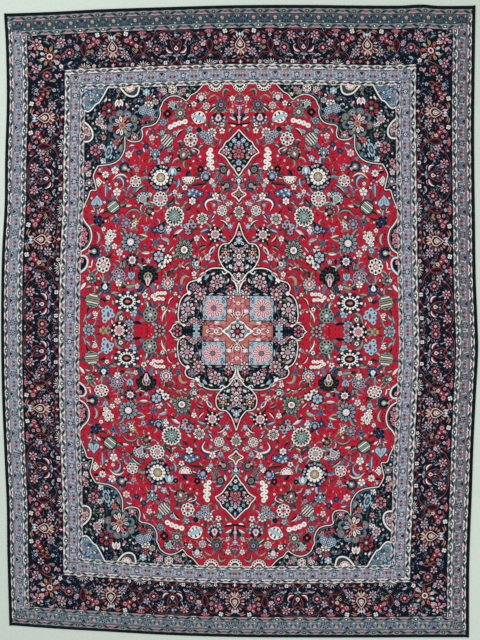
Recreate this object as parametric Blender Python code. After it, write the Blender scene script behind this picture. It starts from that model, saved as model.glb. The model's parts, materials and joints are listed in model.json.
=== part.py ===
"""A hand-knotted wool rug, about 3 by 4 metres, lying flat.

Metres, +Z up. The origin is on the floor under the middle of the rug, +Y runs
along its length towards the top end of the photograph, +X to the right.
"""

import bpy

# Driving sizes: the rug as it was drawn, before its sides bowed on the loom
HALF_WIDTH = 1.462
HALF_LENGTH = 1.9535
PILE_TOP = 0.0100  # warp, weft and knots, plus the clipped pile
PILE_ROUND = 0.0015  # the pile leans out over this much at the rug's rim
BINDING_WIDTH = 0.0110  # wool overcast round the outermost warps
BINDING_HEIGHT = 0.0080
GAP = 0.0003  # between touching pieces

# How far each edge strays outwards from its straight line, and where.
# Columns: place along the edge (m), bulge (m)
RIGHT_EDGE = [
    (-1.950, 0.005), (-1.480, 0.002), (-1.040, 0.013), (-0.740, 0.020), (-0.440, 0.031),
    (-0.150, 0.0425), (0.000, 0.037), (0.300, 0.023), (0.590, 0.016), (0.890, 0.009),
    (1.180, 0.004), (1.480, 0.003), (1.950, 0.004),
]
LEFT_EDGE = [
    (-1.950, 0.001), (-1.480, 0.011), (-1.180, 0.013), (-0.890, 0.024), (-0.440, 0.0395),
    (0.000, 0.0425), (0.440, 0.0335), (0.740, 0.0145), (1.040, 0.009), (1.330, -0.002),
    (1.480, -0.0045), (1.780, 0.0005), (1.950, 0.010),
]
TOP_END = [
    (-1.460, 0.0115), (-1.150, 0.0175), (-0.860, 0.0275), (-0.430, 0.0345), (0.000, 0.0385),
    (0.430, 0.0325), (0.720, 0.0245), (1.010, 0.0185), (1.140, 0.0225), (1.240, 0.0130),
    (1.460, 0.0095),
]
BOTTOM_END = [
    (-1.460, -0.004), (-1.150, 0.0115), (-0.860, 0.0215), (-0.430, 0.0355), (0.000, 0.0385),
    (0.430, 0.0315), (0.860, 0.0215), (1.150, 0.0135), (1.460, 0.006),
]
SIDE_STEPS = 64  # stretches along a long side
END_STEPS = 48  # stretches along a short end

# The bindings' cross-section, as shares of width and height: flat where it lies
BINDING_SECTION = [
    (0.20, 0.00), (0.80, 0.00), (0.95, 0.16), (1.00, 0.45), (0.92, 0.78),
    (0.70, 0.97), (0.50, 1.00), (0.30, 0.97), (0.08, 0.78), (0.00, 0.45), (0.05, 0.16),
]

NAVY = (0.012, 0.020, 0.045, 1.0)
RED = (0.420, 0.022, 0.060, 1.0)


def bulge(edge, place):
    """Reads an edge's bulge at a place, on a smooth curve through its rows."""
    if place <= edge[0][0]:
        return edge[0][1]
    if place >= edge[-1][0]:
        return edge[-1][1]
    k = next(i for i in range(len(edge) - 1) if place <= edge[i + 1][0])

    def slope(i):
        low, high = edge[max(i - 1, 0)], edge[min(i + 1, len(edge) - 1)]
        return (high[1] - low[1]) / (high[0] - low[0])

    (start, v0), (stop, v1) = edge[k], edge[k + 1]
    span = stop - start
    q = (place - start) / span
    return (
        v0 * (2 * q**3 - 3 * q**2 + 1)
        + v1 * (3 * q**2 - 2 * q**3)
        + span * slope(k) * (q**3 - 2 * q**2 + q)
        + span * slope(k + 1) * (q**3 - q**2)
    )


def lie(s, t):
    """The place on the floor of a point (s, t) of the rug as drawn, a true rectangle.

    A bulge dies away towards the middle of the rug, slowly along the width and
    more slowly still along the length.
    """
    across, along = abs(s) / HALF_WIDTH, abs(t) / HALF_LENGTH
    side = bulge(RIGHT_EDGE if s > 0 else LEFT_EDGE, t)
    end = bulge(TOP_END if t > 0 else BOTTOM_END, s)
    x = abs(s) + side * (1.56 * across - 0.56 * across**3)
    y = abs(t) + end * (2.40 * along - 1.40 * along**3)
    return (x if s > 0 else -x), (y if t > 0 else -y)


def spaced(low, high, steps):
    return [low + (high - low) * i / steps for i in range(steps + 1)]


def rim(inset, height):
    """One ring of points round the rug, this far inside its drawn outline."""
    half_s, half_t = HALF_WIDTH - inset, HALF_LENGTH - inset
    drawn = [(s, -half_t) for s in spaced(-half_s, half_s, END_STEPS)[:-1]]
    drawn += [(half_s, t) for t in spaced(-half_t, half_t, SIDE_STEPS)[:-1]]
    drawn += [(s, half_t) for s in spaced(half_s, -half_s, END_STEPS)[:-1]]
    drawn += [(-half_s, t) for t in spaced(half_t, -half_t, SIDE_STEPS)[:-1]]
    return [(*lie(s, t), height) for s, t in drawn]


def lofted(name, rings, material):
    """A closed solid through rings of points that turn anticlockwise seen from its end."""
    count = len(rings[0])
    points = [p for ring in rings for p in ring]
    faces = [tuple(reversed(range(count)))]
    for k in range(len(rings) - 1):
        for i in range(count):
            j = (i + 1) % count
            faces.append((k * count + i, k * count + j, (k + 1) * count + j, (k + 1) * count + i))
    last = (len(rings) - 1) * count
    faces.append(tuple(range(last, last + count)))
    mesh = bpy.data.meshes.new(name)
    mesh.from_pydata(points, [], faces)
    mesh.materials.append(material)
    obj = bpy.data.objects.new(name, mesh)
    bpy.context.scene.collection.objects.link(obj)
    return obj


def wool(name, colour):
    material = bpy.data.materials.new(name)
    material.use_nodes = True
    shader = material.node_tree.nodes["Principled BSDF"]
    shader.inputs["Base Color"].default_value = colour
    shader.inputs["Roughness"].default_value = 0.95
    shader.inputs["Metallic"].default_value = 0.0
    material.diffuse_color = colour
    return material


def make_body(material):
    """The knotted rug itself, one flat slab with its pile rounded at the rim."""
    inset = BINDING_WIDTH + GAP
    rings = [
        rim(inset, 0.0),
        rim(inset, PILE_TOP - PILE_ROUND),
        rim(inset + 0.3 * PILE_ROUND, PILE_TOP - 0.4 * PILE_ROUND),
        rim(inset + PILE_ROUND, PILE_TOP),
    ]
    return lofted("rug_body", rings, material)


def make_side(name, side, material):
    """An overcast selvedge along a long side, from corner to corner. side is 1 or -1."""
    rings = []
    for t in spaced(-HALF_LENGTH, HALF_LENGTH, SIDE_STEPS):
        ring = []
        for share, height in BINDING_SECTION:
            s = side * (HALF_WIDTH - BINDING_WIDTH * (1 - share))
            ring.append((*lie(s, t), height * BINDING_HEIGHT))
        rings.append(ring if side < 0 else ring[::-1])
    return lofted(name, rings, material)


def make_end(name, end, material):
    """A bound end between the two selvedges. end is 1 at the top and -1 at the bottom."""
    half = HALF_WIDTH - BINDING_WIDTH - GAP
    rings = []
    for s in spaced(-half, half, END_STEPS):
        ring = []
        for share, height in BINDING_SECTION:
            t = end * (HALF_LENGTH - BINDING_WIDTH * (1 - share))
            ring.append((*lie(s, t), height * BINDING_HEIGHT))
        rings.append(ring if end > 0 else ring[::-1])
    return lofted(name, rings, material)


def main():
    for obj in list(bpy.data.objects):
        bpy.data.objects.remove(obj)
    red, navy = wool("pile_wool", RED), wool("binding_wool", NAVY)
    make_body(red)
    make_side("selvedge_right", 1, navy)
    make_side("selvedge_left", -1, navy)
    make_end("end_binding_top", 1, navy)
    make_end("end_binding_bottom", -1, navy)


main()
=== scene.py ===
import json
import math
import random
import bpy
import numpy as np
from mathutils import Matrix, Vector
from mathutils.geometry import delaunay_2d_cdt

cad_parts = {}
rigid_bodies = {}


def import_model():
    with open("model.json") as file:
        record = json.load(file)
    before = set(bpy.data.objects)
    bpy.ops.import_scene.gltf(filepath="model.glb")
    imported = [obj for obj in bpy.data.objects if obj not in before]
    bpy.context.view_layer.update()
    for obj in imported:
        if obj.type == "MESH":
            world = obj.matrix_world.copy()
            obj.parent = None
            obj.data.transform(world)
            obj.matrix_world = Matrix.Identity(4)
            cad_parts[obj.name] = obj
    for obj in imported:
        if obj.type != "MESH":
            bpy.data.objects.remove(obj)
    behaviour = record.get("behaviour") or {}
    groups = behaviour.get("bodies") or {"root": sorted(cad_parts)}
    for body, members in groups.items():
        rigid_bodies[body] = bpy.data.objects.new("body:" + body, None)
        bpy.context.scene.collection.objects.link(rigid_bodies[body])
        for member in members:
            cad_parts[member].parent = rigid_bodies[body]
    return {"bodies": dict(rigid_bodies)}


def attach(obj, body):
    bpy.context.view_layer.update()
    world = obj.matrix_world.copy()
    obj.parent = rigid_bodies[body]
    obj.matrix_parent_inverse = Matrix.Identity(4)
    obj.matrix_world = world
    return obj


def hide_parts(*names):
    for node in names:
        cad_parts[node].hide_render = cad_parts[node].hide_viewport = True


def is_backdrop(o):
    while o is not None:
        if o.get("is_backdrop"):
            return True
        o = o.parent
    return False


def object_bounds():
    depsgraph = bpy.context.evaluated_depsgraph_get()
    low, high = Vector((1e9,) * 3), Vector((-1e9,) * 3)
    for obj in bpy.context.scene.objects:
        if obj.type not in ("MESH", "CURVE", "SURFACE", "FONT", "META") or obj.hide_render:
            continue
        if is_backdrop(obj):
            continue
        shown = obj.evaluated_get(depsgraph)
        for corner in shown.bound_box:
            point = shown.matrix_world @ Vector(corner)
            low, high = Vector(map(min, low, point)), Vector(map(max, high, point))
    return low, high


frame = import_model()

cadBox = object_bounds()


def placed(name, data):
    thing = bpy.data.objects.new(name, data)
    bpy.context.scene.collection.objects.link(thing)
    return thing


# The design is charted in millimetres from the middle of the rug, u across and v along, for the quarter
# right of and above it. Weaving turns it over for the other three and lays it as unevenly as the loom did
rug = {
    "halfWidth": 1462, "halfLength": 1953.5,  # as drawn, to the outside of the binding
    "pileWidth": 1450.7, "pileLength": 1942.2,  # to the rim of the pile
    "mainWidth": 1099, "mainLength": 1592,  # inside of the main border
}
knotLine = 3.2  # a row of dark knots round a flower

# Dyes: red, green and blue out of 255
wools = {
    "r": (185, 27, 50),  # crimson ground
    "n": (10, 19, 30),  # navy
    "i": (232, 226, 218),  # ivory
    "s": (156, 186, 201),  # sky
    "b": (80, 110, 143),  # blue
    "d": (40, 56, 92),  # indigo
    "p": (204, 138, 150),  # pink
    "c": (190, 100, 94),  # coral
    "g": (178, 146, 104),  # gold
    "e": (50, 70, 64),  # dark green
    "a": (136, 152, 140),  # sage
    "w": (112, 20, 40),  # wine
    "y": (133, 142, 155),  # grey-blue band ground
    "l": (168, 150, 170),  # lilac
    "u": (92, 62, 80),  # plum
    "t": (136, 74, 70),  # rust
    "k": (16, 22, 26),  # black-green
    "m": (112, 112, 120),  # grey
    "o": (224, 198, 198),  # pale rose
    "h": (100, 116, 128),  # deeper grey-blue
    "q": (164, 58, 78),  # rose red
    "x": (144, 152, 156),  # pale guard ground
    "z": (104, 114, 116),  # greyer guard ground
    "f": (84, 132, 142),  # teal
    "j": (62, 84, 94),  # slate: the band ground darkened as painted shade
    "v": (118, 132, 142),  # the band ground paled as painted light
}

design = []  # outlines in metres and their dyes, later ones on top


def lay(points, dye):
    ring = [(x / 1000, y / 1000) for x, y in points]
    area = sum(a[0] * b[1] - b[0] * a[1] for a, b in zip(ring, ring[1:] + ring[:1]))
    if abs(area) > 1e-6:
        design.append((ring, dye))


def grown(points, by):
    # the same outline, further out all round
    after = points[1:] + points[:1]
    out, side = [], 1 if sum(a[0] * b[1] - b[0] * a[1] for a, b in zip(points, after)) > 0 else -1
    for before, here, then in zip(points[-1:] + points[:-1], points, after):
        ax, ay, bx, rise = here[0] - before[0], here[1] - before[1], then[0] - here[0], then[1] - here[1]
        come, go = math.hypot(ax, ay) or 1e-6, math.hypot(bx, rise) or 1e-6
        lean = side * by / max(1 + (ay * rise + ax * bx) / come / go, 0.5)
        out.append((here[0] + (ay / come + rise / go) * lean, here[1] + (-ax / come - bx / go) * lean))
    return out


def smooth(path, steps=4):
    # a smooth curve through the points
    ends = [path[0]] + list(path) + [path[-1]]
    out = []
    for a, b, c, d in zip(ends, ends[1:], ends[2:], ends[3:]):
        for k in range(steps):
            t = k / steps
            out.append(tuple(
                0.5 * (2 * q + (r - p) * t + (2 * p - 5 * q + 4 * r - s) * t * t
                       + (3 * q - p - 3 * r + s) * t**3)
                for p, q, r, s in zip(a, b, c, d)))
    return out + [tuple(path[-1])]


def sides(path, widths):
    # the two sides of a path, this wide at each of its points
    left, right = [], []
    for i, (x, y) in enumerate(path):
        ax, ay = path[max(i - 1, 0)]
        bx, by = path[min(i + 1, len(path) - 1)]
        run = math.hypot(bx - ax, by - ay) or 1e-6
        nx, ny = -(by - ay) / run * widths[i] / 2, (bx - ax) / run * widths[i] / 2
        left.append((x + nx, y + ny))
        right.append((x - nx, y - ny))
    return left, right


def stripe(path, width, dye):
    # a line of one width
    left, right = sides(path, [width] * len(path))
    for i in range(len(path) - 1):
        lay([left[i], right[i], right[i + 1], left[i + 1]], dye)


def leafOutline(path, width, fullest=0.4):
    last = len(path) - 1
    widths = []
    for i in range(last + 1):
        t = i / last
        swell = t / fullest if t < fullest else (1 - t) / (1 - fullest)
        widths.append(width * math.sin(math.pi / 2 * min(max(swell, 0.06), 1)) ** 0.8)
    left, right = sides(path, widths)
    return left + right[::-1]


def bent(u0, v0, u1, v1, bend, count=5):
    # a path between two points that bows to its left by a share of its length
    du, dv = u1 - u0, v1 - v0
    out = []
    for k in range(count + 1):
        t = k / count
        off = bend * 4 * t * (1 - t)
        out.append((u0 + du * t - dv * off, v0 + dv * t + du * off))
    return out


def leaf(u0, v0, u1, v1, width, dyes, bend=0.0, line="k"):
    # a leaf from its foot to its tip: blade, then one half of it, then its rib
    path = bent(u0, v0, u1, v1, bend)
    blade = leafOutline(path, width)
    if line:
        lay(grown(blade, knotLine * 0.8), line)
    lay(blade, dyes[0])
    if len(dyes) > 1:
        lay(blade[:len(blade) // 2] + path[::-1], dyes[1])
    if len(dyes) > 2:
        stripe(path[1:-1], width * 0.16, dyes[2])


def curl(path, width, dyes, line="k"):
    # a scroll leaf along a curved path, split along its length
    curve = smooth(path)
    blade = leafOutline(curve, width, 0.45)
    if line:
        lay(grown(blade, knotLine * 0.8), line)
    lay(blade, dyes[0])
    if len(dyes) > 1:
        lay(blade[:len(blade) // 2] + curve[::-1], dyes[1])


def stem(path, dye="u", width=3.4):
    stripe(smooth(path), width, dye)


def ray(r, a):
    return r * math.sin(a), r * math.cos(a)


def disc(count=9, r=1.0):
    return [ray(r, 2 * math.pi * k / count) for k in range(count)]


def lobed(lobes, r=1.0, dip=0.2):
    return [ray(r * reach, 2 * math.pi * (k + share) / lobes) for k in range(lobes)
            for share, reach in ((-0.5, 1 - dip), (-0.25, 0.96), (0, 1.0), (0.25, 0.96))]


def dot(u, v, r, dye, around=6):
    lay([(u + r * x, v + r * y) for x, y in disc(around)], dye)


def starry(points, r=1.0, inner=0.55):
    return [ray(r * inner if k % 2 else r, math.pi * k / points) for k in range(2 * points)]


def spark(u, v, r, dye):
    lay([(u + r * x, v + r * y) for x, y in starry(6, 1.0, 0.6)], dye)


def petalRing(count, middle, half, wide, spread=360.0, start=0.0):
    # separate petals round a heart
    out = []
    for k in range(count):
        share = k / count if spread > 359 else (k / (count - 1) - 0.5 if count > 1 else 0)
        a = math.radians(spread * share + start)
        s, c = math.sin(a), math.cos(a)
        petal = []
        for along, across in ((-1, 0), (-0.2, 0.85), (0.5, 1), (1, 0.3), (1, -0.3), (0.5, -1), (-0.2, -0.85)):
            x, y = across * wide, middle + along * half
            petal.append((x * c + y * s, -x * s + y * c))
        out.append(petal)
    return out


def fanOutline(lobes, spread=220.0, r=1.0, foot=0.85, dip=0.16):
    out = [(0.16, -foot), (-0.16, -foot)]
    for k in range(lobes):
        for share, reach in ((0.0, 1 - dip), (0.3, 0.98), (0.7, 0.98)):
            out.append(ray(r * reach, math.radians(spread * ((k + share) / lobes - 0.5))))
    return out + [ray(r * (1 - dip), math.radians(spread / 2))]


def drop(r=1.0, wide=0.6, lift=0.0):
    return [(r * x * wide, r * y + lift) for x, y in
            ((0, 1), (-0.45, 0.5), (-0.95, -0.1), (-0.8, -0.65), (0, -1), (0.8, -0.65), (0.95, -0.1),
             (0.45, 0.5))]


def setDown(u, v, r, turn=0.0, wide=1.0, line="k"):
    # gives a function that lays outlines in units here, turned anticlockwise by degrees
    c, s = math.cos(math.radians(turn)), math.sin(math.radians(turn))
    rim = knotLine * (0.7 if r < 15 else 1.0 if r < 30 else 1.25)

    def put(points, dye, edged=False):
        shape = [(u + r * (wide * x * c - y * s), v + r * (wide * x * s + y * c)) for x, y in points]
        if edged and line:
            lay(grown(shape, rim), line)
        lay(shape, dye)

    return put


def petals(put, dyes, *ring):
    for k, petal in enumerate(petalRing(*ring)):
        put(petal, dyes[k % len(dyes)])


below = []  # where, in the chart being drawn, the leaves under its flowers go


def sepals(u, v, r, turn, line, count=3):
    # small dark leaves that stand out from under a flower
    if line != "k" or r < 11:
        return
    start = len(design)
    kinds = ["de", "ea", "em", "hb", "ea", "us", "ek"]
    for k in range(count + 1):
        mixed = int(u * 3 + v * 5) + k
        a = math.radians(turn + 360 * (k + 0.25) / (count + 1) + mixed % 5 * 9)
        x, y = -math.sin(a), math.cos(a)
        tip = r + (0.62 * r + 11)
        leaf(u + 0.8 * r * x, v + 0.8 * r * y, u + tip * x - 0.4 * r * y, v + tip * y + 0.4 * r * x,
             6 + 0.28 * r, kinds[mixed % 7], 0.16, None)
    if below:
        fresh = design[start:]
        del design[start:]
        design[below[-1]:below[-1]] = fresh


def rosette(u, v, r, dyes, lobes=8, turn=0, wide=1.0, line="k"):
    # dark round, separate petals with a vein each, ring, heart and eye
    sepals(u, v, r, turn, line)
    put = setDown(u, v, r, turn, wide, line)
    dark = line or "n"
    put(lobed(lobes, 1.0, 0.12), dark, True)
    petals(put, dyes[0], lobes, 0.72, 0.29, (2.0 if line == "k" else 1.7) / lobes)
    petals(put, dyes[1], lobes, 0.66, 0.16, 0.75 / lobes)
    put(disc(10, 0.47), dark)
    put(disc(9, 0.38), dyes[2])
    put(disc(6, 0.22), dyes[3])
    if len(dyes) > 4:
        put(disc(5, 0.11), dyes[4])


def wheel(u, v, r, dyes, dots=8, turn=0, wide=1.0, line="k"):
    # a pale wheel with a dark oval in each petal
    sepals(u, v, r, turn, line)
    put = setDown(u, v, r, turn, wide, line)
    put(lobed(dots, 1.0, 0.14), dyes[0], True)
    petals(put, dyes[1], dots, 0.66, 0.19, 1.35 / dots)
    petals(put, "m" if dyes[1] == "k" else "k", dots, 0.78, 0.20, 0.36 / dots, 360, 180 / dots)
    put(lobed(dots, 0.42, 0.2), "k")
    put(lobed(dots, 0.35, 0.2), dyes[2])
    put(starry(4, 0.27, 0.55), dyes[3])


def aster(u, v, r, dyes, points=8, turn=0, wide=1.0, line="k"):
    # pointed petals on a dark round, a pale ring and a heart
    sepals(u, v, r, turn, line, 4)
    put = setDown(u, v, r, turn, wide, line)
    put(disc(2 * points), dyes[1], True)
    petals(put, dyes[0], points, 0.86, 0.12, 1.15 / points)
    put(lobed(points, 0.66, 0.16), dyes[2])
    petals(put, dyes[1], points, 0.52, 0.1, 0.36 / points, 360, 180 / points)
    put(disc(10, 0.38), dyes[1])
    put(lobed(8, 0.33, 0.2), dyes[3])
    put(disc(6, 0.14), dyes[4])


def posy(u, v, r, dyes, lobes=5, turn=0, wide=1.0, line="k"):
    # a small flower of round petals
    sepals(u, v, r, turn, line, 2)
    put = setDown(u, v, r, turn, wide, line)
    put(lobed(lobes, 0.96, 0.25), line or "n", True)
    petals(put, dyes[0], lobes, 0.60, 0.38, 1.9 / lobes)
    put(disc(5, 0.33), dyes[1])


def fan(u, v, r, dyes, lobes=7, turn=0, wide=1.0, spread=220, line="k"):
    # a palmette seen from the side: lobed rim, inner fan, heart and foot
    sepals(u, v, r, turn + 180, line)
    put = setDown(u, v, r, turn, wide, line)
    dark = line or "n"
    put(fanOutline(lobes, spread), dark, True)
    petals(put, dyes[0], lobes, 0.82, 0.16, 1.35 / lobes * spread / 220, spread * (1 - 1 / lobes))
    put(fanOutline(lobes, spread * 0.9, 0.66, 0.7), dyes[1])
    put(fanOutline(5, spread * 0.85, 0.52, 0.6), dark)
    put(fanOutline(5, spread * 0.85, 0.46, 0.5), dyes[2])
    put(drop(0.3, 0.6, 0.02), dyes[3])
    put([(-0.3, -0.95), (0.3, -0.95), (0.16, -0.55), (-0.16, -0.55)], dyes[4] if len(dyes) > 4 else dyes[1])


def palmette(u, v, r, dyes, turn=0, wide=0.8, line="k", lobes=10):
    # an upright oval flower: rim of petals, dotted ring, dark heart with a flame
    sepals(u, v, r, turn, line, 4)
    put = setDown(u, v, r, turn, wide, line)
    dark = line or "n"
    put(lobed(lobes, 1.0, 0.12), dark, True)
    petals(put, dyes[:2], lobes, 0.85, 0.14, 2.1 / lobes)
    put(lobed(lobes, 0.68, 0.1), dyes[2])
    petals(put, dark, lobes, 0.56, 0.08, 0.06, 360, 180 / lobes)
    put(disc(10, 0.43), dark)
    put(disc(9, 0.36), dyes[3])
    put(drop(0.26, 0.7, 0.03), dyes[4])


def tulip(u, v, r, dyes, turn=0, wide=1.0, line="k"):
    # two bowed side petals and a drop between
    sepals(u, v, r, turn + 180, line, 2)
    put = setDown(u, v, r, turn, wide, line)
    cup = [(0, -1), (0.62, -0.55), (0.88, 0.1), (0.75, 0.95), (0.35, 0.45), (0, 1), (-0.35, 0.45),
           (-0.75, 0.95), (-0.88, 0.1), (-0.62, -0.55)]
    put(cup, dyes[0], True)
    put([(0, -0.75), (0.34, -0.1), (0, 0.72), (-0.34, -0.1)], dyes[1])
    for side in (-1, 1):
        put([(side * 0.2, -0.6), (side * 0.56, 0.1), (side * 0.5, 0.5), (side * 0.42, 0.0)], line or "n")
    if len(dyes) > 2:
        put([(-0.34, -1), (0.34, -1), (0.2, -0.55), (-0.2, -0.55)], dyes[2])


def halfWheel(u, v, r, dyes, lobes=6, turn=0, wide=1.0, line="k", spread=190):
    # half a rosette that opens towards its tip
    put = setDown(u, v, r, turn, wide, line)
    put(fanOutline(lobes, spread, 1.0, 0.12, 0.12), dyes[0], True)
    petals(put, dyes[1], lobes, 0.76, 0.14, 0.12, spread * (1 - 1 / lobes))
    put(fanOutline(4, spread * 0.9, 0.52, 0.06, 0.12), dyes[2])
    put(fanOutline(3, spread * 0.9, 0.26, 0.03, 0.12), dyes[3])


def striped(u, v, r, dyes, turn=0, wide=1.0, line="k", bars=5):
    # a round flower of slanting stripes
    sepals(u, v, r, turn, line, 4)
    put = setDown(u, v, r, turn, wide, line)
    dark = line or "n"
    put(lobed(11, 1.0, 0.15), dyes[0], True)
    put(disc(12, 0.82), dark)
    for k in range(bars):
        y = 0.74 - 1.48 * (k + 0.5) / bars
        half = math.sqrt(max(0.74 - y * y, 0.05)) * 0.9
        put([(-half, y - 0.07), (half, y - 0.02), (half, y + 0.15), (-half, y + 0.10)],
            dyes[1 + k % (len(dyes) - 1)])


def posies(spots, r, dyes, lobes=6, line="k"):
    # a truss of small flowers: dark ground first, so they read as one
    for u, v in spots:
        dot(u, v, 1.25 * r, line, 8)
    for u, v in spots:
        posy(u, v, r, dyes, lobes, line=None)
    for (u, v), (a, b) in zip(spots, spots[1:]):
        posy((u + a) / 2 + r * 0.5, (v + b) / 2 + r * 0.5, r * 0.34, "ik", 4, line=None)


def cloud(spots, r, line="k"):
    # a cloud bar: joined ivory rounds, each with a dark dot
    for u, v in spots:
        dot(u, v, r + knotLine, line, 9)
    for a, b in zip(spots, spots[1:]):
        stripe([a, b], 1.1 * r, "i")
    for u, v in spots:
        dot(u, v, r, "i", 9)
        dot(u, v, 0.26 * r, "w", 5)


def rays(u, v, r):
    # many-coloured rays round a wine heart in a pale ring
    put = setDown(u, v, r, 12, 1.0, None)
    put(lobed(9, 1.0, 0.3), "k")
    petals(put, "gcsogtsca", 9, 0.72, 0.26, 0.15)
    petals(put, "wkiqekwei", 9, 0.80, 0.13, 0.05)
    petals(put, "tgtc", 9, 0.44, 0.12, 0.06, 360, 20)
    put(disc(10, 0.36), "k")
    put(disc(10, 0.30), "o")
    put(disc(8, 0.17), "w")


def burst(u, v, r, dyes, lobes=7, turn=0):
    # narrow petals that stand apart, a pale tip to each, and a ringed heart
    put = setDown(u, v, r, turn, 1.0, None)
    petals(put, dyes[:2], lobes, 0.66, 0.34, 1.35 / lobes)
    petals(put, dyes[2], lobes, 0.6, 0.2, 0.42 / lobes)
    petals(put, "m", lobes, 0.52, 0.14, 0.3 / lobes, 360, 180 / lobes)
    put(disc(7, 0.3), dyes[3])
    put(disc(5, 0.15), dyes[-1])


def wheelFlower(u, v, r):
    # the red wheel: small petals in a grey line, a dark ring and a star eye
    put = setDown(u, v, r, 0, 1.0, None)
    put(lobed(10, 1.0, 0.14), "m")
    put(lobed(10, 0.92, 0.14), "k")
    petals(put, "q", 10, 0.72, 0.17, 0.17)
    petals(put, "p", 10, 0.72, 0.09, 0.06)
    put(disc(9, 0.5), "k")
    put(disc(9, 0.42), "w")
    put(starry(5, 0.33, 0.55), "i")
    put(disc(5, 0.13), "b")


# What a chart can name
makers = {maker.__name__: maker for maker in (
    leaf, curl, stem, dot, spark, rosette, wheel, aster, posy, fan, palmette, tulip, halfWheel, striped,
    posies, cloud, rays, burst, wheelFlower)}


def drawAll(chart):
    # in groups: a maker, its rows, and their line's dye where it isn't k
    below.append(len(design))
    for kind, rows, *line in chart:
        for row in rows:
            makers[kind](*row, **({"line": line[0]} if line else {}))
    below.pop()


def oblong(u0, u1, v0, v1, dye):
    # its long sides in short lengths, so that they can follow the cloth
    ring = [(u0, v0), (u1, v0), (u1, v1), (u0, v1), (u0, v0)]
    out = []
    for (ax, ay), (bx, by) in zip(ring, ring[1:]):
        count = max(1, round(math.hypot(bx - ax, by - ay) / 45))
        out += [(ax + (bx - ax) * k / count, ay + (by - ay) * k / count) for k in range(count)]
    lay(out, dye)


# Grounds from the rim inwards: dye, half width and half length out to which each reaches
grounds = [
    ("n", 1450.7, 1942.2), ("z", 1444, 1935), ("h", 1416, 1903), ("z", 1360, 1848), ("n", 1327, 1815),
    ("x", 1099, 1592), ("y", 1060.5, 1562), ("x", 1004.5, 1500), ("r", 970, 1471),
]
print("laying the grounds")
for dye, halfWidth, halfLength in grounds:
    oblong(0, halfWidth, 0, halfLength, dye)
# two lines of knots part each stripe from the next
for dye, halfWidth, halfLength in grounds[1:]:
    for off, wide, shade in ((0, 3.2, "k"), (-4.5, 2.4, "m" if dye in "xz" else "u")):
        if dye in "rn" and off:
            continue
        x, y, half = halfWidth + off, halfLength + off, wide / 2
        oblong(0, x + half, y - half, y + half, shade)
        oblong(x - half, x + half, 0, y, shade)


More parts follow.
